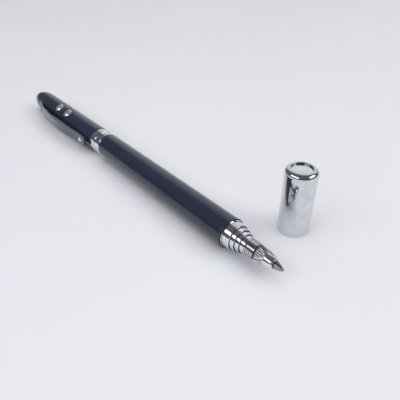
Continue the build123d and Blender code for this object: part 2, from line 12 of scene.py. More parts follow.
import bpy
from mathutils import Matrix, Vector

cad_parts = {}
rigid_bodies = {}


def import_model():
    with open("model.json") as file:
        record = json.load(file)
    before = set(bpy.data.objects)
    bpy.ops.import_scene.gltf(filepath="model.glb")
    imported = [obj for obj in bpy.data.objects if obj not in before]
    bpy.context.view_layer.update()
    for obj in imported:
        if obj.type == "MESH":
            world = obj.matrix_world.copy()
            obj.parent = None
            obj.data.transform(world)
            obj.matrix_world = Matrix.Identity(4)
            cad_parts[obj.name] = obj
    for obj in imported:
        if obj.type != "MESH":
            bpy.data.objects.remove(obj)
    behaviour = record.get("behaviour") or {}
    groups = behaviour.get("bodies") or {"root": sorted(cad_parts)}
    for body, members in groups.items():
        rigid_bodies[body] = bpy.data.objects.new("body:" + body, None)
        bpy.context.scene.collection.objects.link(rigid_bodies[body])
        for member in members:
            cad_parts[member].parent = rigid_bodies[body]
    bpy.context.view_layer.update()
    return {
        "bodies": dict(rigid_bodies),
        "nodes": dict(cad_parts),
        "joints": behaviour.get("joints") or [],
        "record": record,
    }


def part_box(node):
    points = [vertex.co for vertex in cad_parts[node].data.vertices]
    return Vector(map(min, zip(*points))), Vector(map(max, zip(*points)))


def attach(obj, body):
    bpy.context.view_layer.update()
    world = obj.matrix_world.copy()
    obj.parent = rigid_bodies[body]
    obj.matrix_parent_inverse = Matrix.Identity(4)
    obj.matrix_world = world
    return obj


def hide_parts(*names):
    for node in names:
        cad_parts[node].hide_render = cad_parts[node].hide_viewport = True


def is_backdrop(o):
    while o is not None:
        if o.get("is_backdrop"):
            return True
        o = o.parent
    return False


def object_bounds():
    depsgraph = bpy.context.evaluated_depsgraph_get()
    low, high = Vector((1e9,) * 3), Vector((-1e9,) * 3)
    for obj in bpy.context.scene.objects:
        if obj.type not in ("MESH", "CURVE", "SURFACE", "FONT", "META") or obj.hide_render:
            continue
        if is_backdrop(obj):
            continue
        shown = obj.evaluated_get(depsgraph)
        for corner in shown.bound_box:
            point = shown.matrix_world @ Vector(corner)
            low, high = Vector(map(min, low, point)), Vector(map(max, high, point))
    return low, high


Colour = tuple[float, float, float]
Triple = tuple[float, float, float]
Pair = tuple[float, float]
Outline = list[Pair]
Piece = bpy.types.Object
Socket = bpy.types.NodeSocket

# Sizes below are in millimetres, and Blender's are in metres
MM = 0.001
# Points nearer than this, in metres, are merged
MERGE = 5e-7
# Places nearer than this, in millimetres, count as the same
SAME_PLACE = 0.004
# Edges that turn by more than this, in degrees, stay sharp
SHARP_ANGLE = 32.0
# How much more the wide faces count when normals are averaged
FACE_WEIGHT = 80
# A drill starts this far outside what it bores
LEAD = 1.0
# The range that most of a noise lies in, and the strength of its finer layers
NOISE_RANGE = (0.3, 0.7)
NOISE_ROUGHNESS = 0.55
ALONG_X = (1.0, 0.0, 0.0)
ALONG_Z = (0.0, 0.0, 1.0)
# The angle of an arc's point that is nearest to the line
INWARDS = 270

log = logging.getLogger("telescopic_pen")


class Slot(Enum):
    """The record's material slots."""

    BLACK_GLOSS = "black_gloss"
    CHROME = "chrome"
    BRASS = "brass"
    STEEL = "steel"
    MAGNET = "magnet"
    INSULATOR = "insulator"
    DARK_PLASTIC = "dark_plastic"
    BOARD = "board"
    CLEAR = "clear"


class Turn(IntEnum):
    """How many steps a full turn has, by what is turned."""

    CAP = 192
    BARREL = 160
    BAND = 144
    TUBE = 128
    SMALL = 96
    STUD = 72
    DRILL = 64
    TINY = 48


@dataclass(frozen=True)
class Pattern:
    """A noise over a surface.

    Attributes:
        repeats: How often it repeats in a metre, along each axis.
        detail: How many finer layers it has.
    """

    repeats: Triple
    detail: float = 3.0


@dataclass(frozen=True)
class Relief(Pattern):
    """A noise that raises the surface.

    Attributes:
        shown: How much of it shows, from 0 to 1.
        depth: Its depth.
    """

    shown: float = 0.15
    depth: float = 0.01


class Grain(Enum):
    """How many times a metre the turning lines of a metal piece repeat along each axis."""

    ALONG_PEN = (7000.0, 90.0, 90.0)
    ALONG_CAP = (90.0, 90.0, 7000.0)
    EVEN = (2600.0, 2600.0, 2600.0)

    def relief(self, shown: float = 0.08, depth: float = 0.004) -> Relief:
        """Give the lines as a relief, from how much of it shows and its depth."""
        return Relief(self.value, detail=2.0, shown=shown, depth=depth)


def opaque(colour: Colour) -> tuple[float, float, float, float]:
    """Give a colour with its alpha."""
    return (*colour, 1.0)


class NodeSheet:
    """The nodes of a material or of the room."""

    # A mix node's sockets for colours
    MIX_FIRST, MIX_SECOND, MIX_RESULT = 6, 7, 2
    # Where a ramp's new stop is until it is placed
    RAMP_MIDDLE = 0.5

    def __init__(self, owner: bpy.types.Material | bpy.types.World) -> None:
        """Empty a node tree and start it with the coordinates.

        Args:
            owner: What the tree belongs to.
        """
        owner.use_nodes = True
        self.tree: bpy.types.NodeTree = owner.node_tree
        self.tree.nodes.clear()
        self.coordinates = self.add("TexCoord").outputs

    def put(self, node: bpy.types.Node, place: int | str, value: object) -> None:
        """Set one of a node's inputs, or link a socket to it.

        Args:
            node: The node.
            place: The input's number, or its name with _ for a space.
            value: The value or the socket.
        """
        target = node.inputs[place if isinstance(place, int) else place.replace("_", " ")]
        if isinstance(value, Socket):
            self.tree.links.new(value, target)
        else:
            target.default_value = value

    def add(self, kind: str, *first: object, **named: object) -> bpy.types.Node:
        """Add a node and fill its inputs.

        Args:
            kind: The node's type, after ShaderNode.
            first: Values or sockets for its first inputs, in order.
            named: Values or sockets for inputs by name, with _ for a space.

        Returns:
            The node.
        """
        node = self.tree.nodes.new(f"ShaderNode{kind}")
        for place, value in (*enumerate(first), *named.items()):
            self.put(node, place, value)
        return node

    def mapped(self, repeats: Triple, move: Triple = (0.0, 0.0, 0.0)) -> Socket:
        """Give the object's coordinates, scaled and moved.

        Args:
            repeats: How often a pattern repeats in a metre, along each axis.
            move: How far the pattern is moved, in repeats.

        Returns:
            The vector socket.
        """
        node = self.add("Mapping", self.coordinates["Object"], Location=move, Scale=repeats)
        return node.outputs["Vector"]

    def noise(self, pattern: Pattern) -> Socket:
        """Give a noise over the object.

        Args:
            pattern: How often it repeats, and its detail.

        Returns:
            The socket of its value, from 0 to 1.
        """
        place, rough = self.mapped(pattern.repeats), NOISE_ROUGHNESS
        node = self.add("TexNoise", place, Scale=1.0, Detail=pattern.detail, Roughness=rough)
        return node.outputs["Fac"]

    def ramp(self, value: Socket, stops: Sequence[tuple[float, Colour]]) -> Socket:
        """Turn a value into a colour.

        Args:
            value: The value's socket.
            stops: Places from 0 to 1, rising, and their colours.

        Returns:
            The colour's socket.
        """
        node = self.add("ValToRGB", value)
        elements = node.color_ramp.elements
        while len(elements) < len(stops):
            elements.new(self.RAMP_MIDDLE)
        for element, (place, colour) in zip(elements, stops):
            element.position = place
            element.color = opaque(colour)
        return node.outputs["Color"]

    def remap(self, value: Socket, source: Pair, target: Pair = (0.0, 1.0)) -> Socket:
        """Turn one range of a value into another, with nothing beyond its ends."""
        return self.add("MapRange", value, *source, *target).outputs["Result"]

    def compute(self, kind: str, operation: str, *values: object) -> Socket:
        """Work out a number.

        Args:
            kind: Math or VectorMath.
            operation: What is done.
            values: The values or sockets that it is done with.

        Returns:
            The number's socket.
        """
        node = self.add(kind, *values)
        node.operation = operation
        return node.outputs["Value"]

    def tint(self, share: Socket, tone: Socket, colour: Colour) -> Socket:
        """Change a share of a tone to a colour.

        Args:
            share: The share's socket.
            tone: The tone's socket.
            colour: The colour.

        Returns:
            The mixed tone's socket.
        """
        node = self.add("Mix", share)
        node.data_type = "RGBA"
        self.put(node, self.MIX_FIRST, tone)
        self.put(node, self.MIX_SECOND, opaque(colour))
        return node.outputs[self.MIX_RESULT]


class MaterialSheet(NodeSheet):
    """The nodes of one material, which end in its shader."""

    def __init__(self, name: str) -> None:
        """Start a material with a shader and its output.

        Args:
            name: The material's name.
        """
        self.material: bpy.types.Material = bpy.data.materials.new(name)
        super().__init__(self.material)
        self.shader = self.add("BsdfPrincipled")
        self.add("OutputMaterial", Surface=self.shader.outputs["BSDF"])

    def set(self, **values: object) -> None:
        """Fill inputs of the shader by name, with _ for a space."""
        for name, value in values.items():
            self.put(self.shader, name, value)


@dataclass(frozen=True)
class Finish:
    """What a surface is made of and how it has been worked.

    Attributes:
        name: The material's name.
        slot: The record's slot that it belongs to.
        deep: The darker tone.
        pale: The lighter tone.
        gloss: Least and greatest roughness.
        relief: The fine relief of its skin.
        drift: Where the tone changes.
        stops: The places of the two tones in that pattern.
        smudge: Where the gloss changes.
    """

    name: str
    slot: Slot
    deep: Colour
    pale: Colour
    gloss: Pair
    relief: Relief | None
    drift: Pattern
    stops: Pair
    smudge: Pattern

    def material(self) -> bpy.types.Material:
        """Make the finish's material, once.

        Returns:
            The material.
        """
        made = bpy.data.materials.get(self.name)
        if made is None:
            sheet = MaterialSheet(self.name)
            self.paint(sheet)
            made = sheet.material
        return made

    def paint(self, sheet: MaterialSheet) -> None:
        """Lay the tone, the gloss and the relief.

        Args:
            sheet: The material's nodes.
        """
        tones = list(zip(self.stops, (self.deep, self.pale)))
        tone = self.work(sheet, sheet.ramp(sheet.noise(self.drift), tones))
        gloss = sheet.remap(sheet.noise(self.smudge), NOISE_RANGE, self.gloss)
        sheet.set(Base_Color=tone, Roughness=gloss)
        if self.relief:
            bump = sheet.add(
                "Bump",
                Strength=self.relief.shown,
                Distance=self.relief.depth * MM,
                Height=sheet.noise(self.relief),
            )
            sheet.set(Normal=bump.outputs["Normal"])

    def work(self, sheet: MaterialSheet, tone: Socket) -> Socket:
        """Set what else the shader needs, and give the tone as the finish changes it."""
        return tone

    def cover(self, piece: Piece) -> None:
        """Give this finish to all of a piece.

        Args:
            piece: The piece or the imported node.
        """
        if not piece.data.materials:
            piece.data.materials.append(self.material())
        for place in piece.material_slots:
            place.material = self.material()


@dataclass(frozen=True)
class Lacquer(Finish):
    """Glossy dark paint under a clear coat, with a faint drift of tone and a few dust specks.

    Attributes:
        dust: The tone of the specks.
        specks: Where the specks are.
        speck_range: Where in that pattern a speck starts and is full.
        shine: How strongly the paint under the coat shines.
        coat: The coat's weight, roughness and index of refraction.
    """

    deep: Colour = (0.0205, 0.0235, 0.046)
    pale: Colour = (0.0265, 0.0305, 0.0575)
    gloss: Pair = (0.16, 0.3)
    relief: Relief | None = Relief((1500.0,) * 3, 2.0, 0.06, 0.01)
    drift: Pattern = Pattern((60.0, 240.0, 240.0))
    stops: Pair = (0.35, 0.7)
    smudge: Pattern = Pattern((300.0, 900.0, 900.0))
    dust: Colour = (0.075, 0.075, 0.082)
    specks: Pattern = Pattern((5200.0,) * 3, 1.0)
    speck_range: Pair = (0.79, 0.84)
    shine: float = 0.1
    coat: Triple = (0.9, 0.035, 1.45)

    def work(self, sheet: MaterialSheet, tone: Socket) -> Socket:
        """Lay the clear coat and the specks.

        Args:
            sheet: The material's nodes.
            tone: The paint's tone.

        Returns:
            The tone with the specks in it.
        """
        weight, rough, bend = self.coat
        sheet.set(
            Specular_IOR_Level=self.shine, Coat_Weight=weight, Coat_Roughness=rough, Coat_IOR=bend
        )
        ends = list(zip(self.speck_range, ((0.0,) * 3, (1.0,) * 3)))
        return sheet.tint(sheet.ramp(sheet.noise(self.specks), ends), tone, self.dust)


@dataclass(frozen=True)
class GrooveShade:
    """Painted shade in the grooves of a turned piece: the tone darkens where the surface lies below
    its given radius.

    Attributes:
        line: The two ends of the surface, along the piece's line.
        radii: The surface's radius at those ends.
        depths: The depth at which the painted shade begins, and the depth at which it is full.
        along: The axis that the line runs along.
        across: Which axes count for the radius.
        middle: A point on the line.
        shade: The colour of the painted shade.
    """

    line: Pair
    radii: Pair
    depths: Pair
    along: str = "X"
    across: Triple = (0.0, 1.0, 1.0)
    middle: Triple = (0.0, 0.0, 0.0)
    shade: Colour = (0.05, 0.05, 0.06)

    def paint_shade(self, sheet: MaterialSheet, tone: Socket) -> Socket:
        """Paint shade into a tone in the grooves.

        Args:
            sheet: The material's nodes.
            tone: The tone's socket.

        Returns:
            The darkened tone's socket.
        """
        line, radii, depths = (
            tuple(size * MM for size in pair) for pair in (self.line, self.radii, self.depths)
        )
        move = tuple(-part * keep * MM for part, keep in zip(self.middle, self.across))
        radius = sheet.compute("VectorMath", "LENGTH", sheet.mapped(self.across, move))
        place = sheet.add("SeparateXYZ", sheet.coordinates["Object"]).outputs[self.along]
        depth = sheet.compute("Math", "SUBTRACT", sheet.remap(place, line, radii), radius)
        inside = sheet.compute("Math", "LESS_THAN", place, line[1])
        # Share of painted shade: full below the depths, none beyond the line's far end
        shade_share = sheet.compute("Math", "MULTIPLY", sheet.remap(depth, depths), inside)
        return sheet.tint(shade_share, tone, self.shade)


@dataclass(frozen=True)
class Metal(Finish):
    """Bare or plated metal with smudged gloss and fine lines from turning.

    Attributes:
        groove_shades: The painted shade in its grooves.
    """

    deep: Colour = (0.72, 0.73, 0.76)
    pale: Colour = (0.84, 0.845, 0.86)
    gloss: Pair = (0.045, 0.11)
    relief: Relief | None = Grain.ALONG_PEN.relief()
    drift: Pattern = Pattern((420.0,) * 3, 4.0)
    stops: Pair = (0.3, 0.62)
    smudge: Pattern = Pattern((900.0,) * 3, 5.0)
    groove_shades: tuple[GrooveShade, ...] = ()

    def work(self, sheet: MaterialSheet, tone: Socket) -> Socket:
        """Make it metal and paint shade into its grooves.

        Args:
            sheet: The material's nodes.
            tone: The metal's tone.

        Returns:
            The tone with the painted shade in its grooves.
        """
        sheet.set(Metallic=1.0)
        for shade_layer in self.groove_shades:
            tone = shade_layer.paint_shade(sheet, tone)
        return tone


@dataclass(frozen=True)
class Moulding(Finish):
    """Plain plastic, film or board with a fine skin and a slight drift of tone."""

    deep: Colour = (0.02, 0.02, 0.022)
    pale: Colour = (0.045, 0.045, 0.05)
    gloss: Pair = (0.42, 0.6)
    relief: Relief | None = Relief((6000.0,) * 3, 2.0)
    drift: Pattern = Pattern((500.0,) * 3)
    stops: Pair = (0.3, 0.7)
    smudge: Pattern = Pattern((1200.0,) * 3)


@dataclass(frozen=True)
class ClearMoulding(Finish):
    """Clear plastic of a lamp or lens, with a faint cloud in it.

    Attributes:
        bend: Its index of refraction.
    """

    deep: Colour = (0.90, 0.92, 0.93)
    pale: Colour = (0.93, 0.96, 0.99)
    gloss: Pair = (0.02, 0.08)
    relief: Relief | None = None
    drift: Pattern = Pattern((700.0,) * 3)
    stops: Pair = (0.35, 0.65)
    smudge: Pattern = Pattern((1500.0,) * 3)
    bend: float = 1.5

    def work(self, sheet: MaterialSheet, tone: Socket) -> Socket:
        """Let light through it."""
        sheet.set(IOR=self.bend, Transmission_Weight=1.0)
        return tone


BLACK_LACQUER = Lacquer("black_lacquer", Slot.BLACK_GLOSS)
CLIP_LACQUER = Lacquer("clip_lacquer", Slot.BLACK_GLOSS, shine=0.2)
PEN_CHROME = Metal("pen_chrome", Slot.CHROME)
CAP_CHROME = Metal(
    "cap_chrome",
    Slot.CHROME,
    (0.63, 0.64, 0.67),
    (0.735, 0.74, 0.76),
    relief=Grain.ALONG_CAP.relief(),
)
BUTTON_CHROME = Metal(
    "button_chrome", Slot.CHROME, gloss=(0.3, 0.4), relief=Grain.EVEN.relief(0.03)
)
POINT_METAL, SHEET_BRASS, PLAIN_STEEL, NICKEL = (
    Metal(name, slot, deep, pale, gloss, relief)
    for name, slot, deep, pale, gloss, relief in (
        (
            "point_brass", Slot.BRASS, (0.25, 0.24, 0.235), (0.45, 0.435, 0.43), (0.1, 0.2),
            Grain.ALONG_PEN.relief(0.2, 0.008),
        ),
        (
            "sheet_brass", Slot.BRASS, (0.52, 0.38, 0.18), (0.72, 0.56, 0.31), (0.2, 0.34),
            Grain.EVEN.relief(0.1),
        ),
        (
            "plain_steel", Slot.STEEL, (0.5, 0.5, 0.52), (0.66, 0.66, 0.68), (0.2, 0.32),
            Grain.EVEN.relief(0.1),
        ),
        (
            "nickel_plate", Slot.MAGNET, (0.80, 0.83, 0.87), (0.88, 0.90, 0.93), (0.16, 0.26),
            Grain.EVEN.relief(),
        ),
    )
)
WHITE_FILM = Moulding(
    "white_film", Slot.INSULATOR, (0.72, 0.72, 0.69), (0.82, 0.82, 0.80), (0.35, 0.5)
)
DARK_MOULDING = Moulding("dark_moulding", Slot.DARK_PLASTIC)
SOLDER_RESIST = Moulding(
    "solder_resist", Slot.BOARD, (0.02, 0.14, 0.06), (0.04, 0.22, 0.1), (0.25, 0.4)
)
CLEAR_LENS = ClearMoulding("clear_lens", Slot.CLEAR)
# The pale, nearly matt surface that the pen lies on
TABLE_TOP = Moulding(
    "table_top",
    Slot.INSULATOR,
    (0.745, 0.752, 0.79),
    (0.765, 0.772, 0.81),
    (0.55, 0.7),
    Relief((1400.0,) * 3, 3.0, 0.08, 0.02),
    Pattern((9.0,) * 3),
    smudge=Pattern((150.0,) * 3),
)
NODE_FINISHES: dict[str, Finish] = {
    finish.slot.value: finish
    for finish in (
        BLACK_LACQUER, PEN_CHROME, SHEET_BRASS, PLAIN_STEEL, NICKEL, WHITE_FILM, DARK_MOULDING,
        SOLDER_RESIST, CLEAR_LENS,
    )
}


class Bench:
    """Hand work on one mesh at a time, through Blender's own operators."""

    @staticmethod
    def clear() -> None:
        """Deselect every object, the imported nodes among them."""
        bpy.ops.object.select_all(action="DESELECT")

    @staticmethod
    def edit(kind: str = "VERT") -> None:
        """Open the active piece for editing, by its points or by another kind of part."""
        bpy.ops.object.mode_set(mode="EDIT")
        bpy.ops.mesh.select_mode(type=kind)

    @staticmethod
    def close() -> None:
        """Leave editing."""
        bpy.ops.object.mode_set(mode="OBJECT")

    @staticmethod
    def named(name: str) -> Piece:
        """Name the primitive that has just been added.

        Args:
            name: The piece's name.

        Returns:
            The piece.
        """
        piece = bpy.context.object
        piece.name = name
        piece.data.name = name
        return piece

    @staticmethod
    def draw_to(step: Vector) -> None:
        """Extrude what is selected by a step."""
        bpy.ops.mesh.extrude_region_move(TRANSFORM_OT_translate={"value": tuple(step)})

    @staticmethod
    def merge() -> None:
        """Merge doubled points all over and turn every face outwards."""
        bpy.ops.mesh.select_all(action="SELECT")
        bpy.ops.mesh.remove_doubles(threshold=MERGE)
        bpy.ops.mesh.normals_make_consistent(inside=False)

    @staticmethod
    def pick(piece: Piece, kind: str, wanted: Callable[..., bool]) -> None:
        """Select points or edges by their places, and leave the piece open for editing.

        Args:
            piece: The piece, which is active.
            kind: VERT or EDGE.
            wanted: Says whether a point's place, or the places of an edge's ends, are wanted.
        """
        Bench.edit(kind)
        bpy.ops.mesh.select_all(action="DESELECT")
        Bench.close()
        points = piece.data.vertices
        if kind == "VERT":
            for point in points:
                point.select = wanted(point.co)
        else:
            for edge in piece.data.edges:
                edge.select = wanted(*(points[end].co for end in edge.vertices))
        bpy.ops.object.mode_set(mode="EDIT")

    @staticmethod
    def apply(piece: Piece, kind: str, **settings: object) -> None:
        """Add a modifier to the active piece and apply it.

        Args:
            piece: The piece.
            kind: The modifier's type.
            settings: The modifier's settings.
        """
        modifier = piece.modifiers.new(kind.lower(), kind)
        for name, value in settings.items():
            setattr(modifier, name, value)
        bpy.ops.object.modifier_apply(modifier=modifier.name)

    @staticmethod
    def take_up(piece: Piece) -> None:
        """Make one piece the only selected and active one.

        Args:
            piece: The piece.
        """
        Bench.clear()
        piece.select_set(True)
        bpy.context.view_layer.objects.active = piece

    @staticmethod
    def cut(piece: Piece, cutter: Piece) -> None:
        """Cut one piece with another, which is then thrown away.

        Args:
            piece: The piece that stays.
            cutter: The piece that is taken out of it.
        """
        Bench.take_up(piece)
        Bench.apply(piece, "BOOLEAN", operation="DIFFERENCE", solver="EXACT", object=cutter)
        bpy.data.objects.remove(cutter)

    @staticmethod
    def smooth(piece: Piece) -> None:
        """Shade a piece smooth between its sharp edges, with wide faces kept true.

        Args:
            piece: The piece.
        """
        Bench.take_up(piece)
        bpy.ops.object.shade_smooth_by_angle(angle=math.radians(SHARP_ANGLE))
        Bench.apply(piece, "WEIGHTED_NORMAL", keep_sharp=True, weight=FACE_WEIGHT)


class Rounding(NamedTuple):
    """Edges that run right round a turned piece, and how they are rounded off.

    Attributes:
        rings: The edges' places along the line and distances from it.
        width: How far the rounding reaches.
        faces: How many faces make it up.
    """

    rings: Sequence[Pair]
    width: float
    faces: int


@dataclass(frozen=True)
class Spindle:
    """A line that pieces are turned about.

    Attributes:
        origin: A point of the line, from which places along it are measured.
        along: The line's direction.
        side: The side on which outlines are drawn.
    """

    origin: Triple = (0.0, 0.0, 0.0)
    along: Triple = ALONG_X
    side: Triple = ALONG_Z

    def place(self, along: float, radius: float) -> Vector:
        """Give a point in metres, from its place along the line and distance from it."""
        offset = along * Vector(self.along) + radius * Vector(self.side)
        return (Vector(self.origin) + offset) * MM

    def measure(self, spot: Vector) -> Pair:
        """Say where a point is.

        Args:
            spot: The point, in metres.

        Returns:
            Its place along the line and its distance from it.
        """
        offset = spot / MM - Vector(self.origin)
        along = offset.dot(Vector(self.along))
        return along, (offset - along * Vector(self.along)).length

    def turn(self, name: str, outline: Outline, steps: int, *rounds: Rounding) -> Piece:
        """Draw an outline point by point, spin it round the line and round off its edges.

        An outline that starts and ends on the line stays open, and any other is closed.

        Args:
            name: The piece's name.
            outline: Places along the line and distances from it.
            steps: The number of steps in the turn.
            rounds: The edges that are rounded off.

        Returns:
            The turned piece, active.
        """
        Bench.clear()
        bpy.ops.mesh.primitive_plane_add(size=MM)
        piece = Bench.named(name)
        Bench.edit()
        bpy.ops.mesh.merge(type="CENTER")
        points = [self.place(*spot) for spot in outline]
        if outline[0][1] > 0 or outline[-1][1] > 0:
            points.append(points[0])
        bpy.ops.transform.translate(value=points[0])
        for start, end in zip(points, points[1:]):
            Bench.draw_to(end - start)
        bpy.ops.mesh.select_all(action="SELECT")
        centre = Vector(self.origin) * MM
        bpy.ops.mesh.spin(steps=int(steps), angle=math.tau, center=centre, axis=self.along)
        Bench.merge()
        Bench.close()
        for rounding in rounds:
            self.round_off(piece, rounding)
        return piece

    def round_off(self, piece: Piece, rounding: Rounding) -> None:
        """Round off edges that run right round a turned piece.

        Args:
            piece: The piece.
            rounding: The edges, and how they are rounded off.
        """

        def near(spot: Vector, ring: Pair) -> bool:
            """Say whether a point is on a ring."""
            return math.dist(self.measure(spot), ring) < SAME_PLACE

        def wanted(first: Vector, last: Vector) -> bool:
            """Say whether an edge's ends are on the same ring."""
            return any(near(first, ring) and near(last, ring) for ring in rounding.rings)

        Bench.take_up(piece)
        Bench.pick(piece, "EDGE", wanted)
        bpy.ops.mesh.bevel(offset=rounding.width * MM, segments=rounding.faces, affect="EDGES")
        Bench.close()


PEN_LINE = Spindle()


def stepped(bore: float, steps: Sequence[Pair], end: float) -> Outline:
    """Give the outline of a tube whose outside goes up or down in steps.

    Args:
        bore: The tube's inner radius.
        steps: Where each step of the outside starts, and its radius.
        end: Where the last one ends.

    Returns:
        The points, which start and end on the bore.
    """
    ends = [place for place, _ in steps[1:]] + [end]
    points = [(steps[0][0], bore)]
    for (place, radius), after in zip(steps, ends):
        points += [(place, radius), (after, radius)]
    return points + [(end, bore)]


def arc(centre: Pair, size: Pair, first: float, last: float, count: int) -> Outline:
    """Give points on a part of an ellipse.

    Args:
        centre: The ellipse's middle, along the line and out from it.
        size: Its half lengths in the same two directions.
        first: The angle of the first point in degrees, from straight along the line.
        last: The angle of the last point.
        count: The number of points.

    Returns:
        The points.
    """
    angles = [math.radians(first + (last - first) * n / (count - 1)) for n in range(count)]
    return [(centre[0] + size[0] * math.cos(a), centre[1] + size[1] * math.sin(a)) for a in angles]


def dome(edge: float, rise: float, radius: float, count: int) -> Outline:
    """Give a shallow dome's outline, from its rim to its top on the line.

    Args:
        edge: The rim's place along the line.
        rise: The dome's height over the rim, below 0 for one that faces back.
        radius: The rim's radius.
        count: The number of points.

    Returns:
        The points.
    """
    ball = (radius**2 + rise**2) / (2 * abs(rise))
    lean = math.asin(radius / ball)
    sign = math.copysign(1.0, rise)
    points = []
    for n in range(count):
        angle = lean * (1 - n / (count - 1))
        along = edge + sign * (abs(rise) - ball + ball * math.cos(angle))
        points.append((along, ball * math.sin(angle)))
    return points


def soft_corner(start: Pair, corner: Pair, end: Pair, count: int) -> Outline:
    """Give points that round off a corner of an outline.

    Args:
        start: Where the rounding starts.
        corner: The sharp corner.
        end: Where the rounding ends.
        count: The number of points, without the first.

    Returns:
        The points after the first, up to the end.
    """
    points: Outline = []
    for number in range(1, count + 1):
        t = number / count
        weights = ((1 - t) ** 2, 2 * t * (1 - t), t**2)
        pull = list(zip(weights, (start, corner, end)))
        points.append(tuple(sum(w * p[i] for w, p in pull) for i in (0, 1)))
    return points


def span(node: str) -> Triple:
    """Give the rear end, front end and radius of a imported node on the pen's line."""
    low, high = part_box(node)
    return low.x / MM, high.x / MM, high.z / MM


@dataclass
class SubAssembly(ABC):
    """Pieces that are built together and dressed together."""

    made: list[tuple[Piece, Finish, str, tuple[str, ...]]] = field(default_factory=list, init=False)

    @abstractmethod
    def build(self) -> None:
        """Model the pieces and keep each one."""

    def keep(self, piece: Piece, finish: Finish, body: str, *nodes: str) -> None:
        """Keep a modelled piece until it is dressed.

        Args:
            piece: The piece.
            finish: Its finish.
            body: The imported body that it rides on.
            nodes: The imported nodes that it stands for.
        """
        self.made.append((piece, finish, body, nodes))

    def dress(self) -> None:
        """Smooth each piece, give it its finish and put it on its body."""
        for piece, finish, body, nodes in self.made:
            Bench.smooth(piece)
            finish.cover(piece)
            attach(piece, body)
            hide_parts(*nodes)
            faces = len(piece.data.polygons)
            log.info("%s: %s on %s, %d faces", piece.name, finish.name, body, faces)


@dataclass
class FrontBarrel(SubAssembly):
    """The long lacquered tube and the chrome collar in its mouth."""

    bore: float = 4.1
    front_edge: float = 0.2
    rear_edge: float = 0.1
    collar_bore: float = 3.49
    collar_radius: float = 3.9
    collar_edge: float = 0.35
    throat_shade_depths: Pair = (0.5, 0.7)

    def build(self) -> None:
        """Turn the tube and the collar."""
        rear, front, radius = span("front_barrel")
        tube = PEN_LINE.turn(
            "front_barrel_tube",
            stepped(self.bore, [(rear, radius)], front),
            Turn.BARREL,
            Rounding([(front, radius)], self.front_edge, faces=5),
            Rounding([(rear, radius), (front, self.bore)], self.rear_edge, faces=3),
        )
        self.keep(tube, BLACK_LACQUER, "barrel", "front_barrel")

        seat, mouth, seat_radius = span("nose_collar")
        collar = PEN_LINE.turn(
            "nose_collar_ring",
            stepped(self.collar_bore, [(seat, seat_radius), (front, self.collar_radius)], mouth),
            Turn.BAND,
            Rounding([(mouth, self.collar_radius)], self.collar_edge, faces=6),
        )
        # Painted shade on the inner part of the collar's rounded front edge, its front face and its
        # bore
        throat = GrooveShade(
            (front, mouth + self.collar_edge),
            (self.collar_radius,) * 2,
            tuple(share * self.collar_edge for share in self.throat_shade_depths),
        )
        chrome = replace(PEN_CHROME, name="collar_chrome", groove_shades=(throat,))
        self.keep(collar, chrome, "barrel", "nose_collar")


@dataclass
class Telescope(SubAssembly):
    """The nested chrome tubes, each with a rolled rim that the next one slides through."""

    count: int = 4
    wall: float = 0.2
    slide_gap: float = 0.04
    rim_length: float = 0.6
    rim_edge: float = 0.15
    groove_depth: float = 0.05
    groove_width: float = 0.12
    sink_width: float = 0.19
    sink_depth: float = 0.3

    def build(self) -> None:
        """Turn each tube, with a fine groove behind its rim, a countersunk mouth and painted shade
        in that mouth.
        """
        for number in range(1, self.count + 1):
            node = f"stage_{number}_tube"
            rear, front, radius = span(node)
            inside = radius - self.wall
            behind = front - self.rim_length
            groove = (behind - self.groove_width, radius - self.groove_depth)
            outline = stepped(inside, [(rear, radius), groove, (behind, radius)], front)
            if number < self.count:
                throat = span(f"stage_{number + 1}_tube")[2] + self.slide_gap
                sink = [(front, throat + self.sink_width), (front - self.sink_depth, throat)]
                outline[-1:] = [*sink, (behind, throat), (behind, inside)]
            rim = Rounding([(front, radius)], self.rim_edge, faces=4)
            tube = PEN_LINE.turn(f"telescope_tube_{number}", outline, Turn.TUBE, rim)
            # Painted shade on each tube's front face, countersink and bore, where the surface lies
            # deeper than the rim's rounding
            depths = (self.rim_edge, self.wall)
            mouth = GrooveShade((rear, front + self.rim_length), (radius,) * 2, depths)
            chrome = replace(PEN_CHROME, name=f"tube_{number}_chrome", groove_shades=(mouth,))
            self.keep(tube, chrome, f"stage_{number}", node)


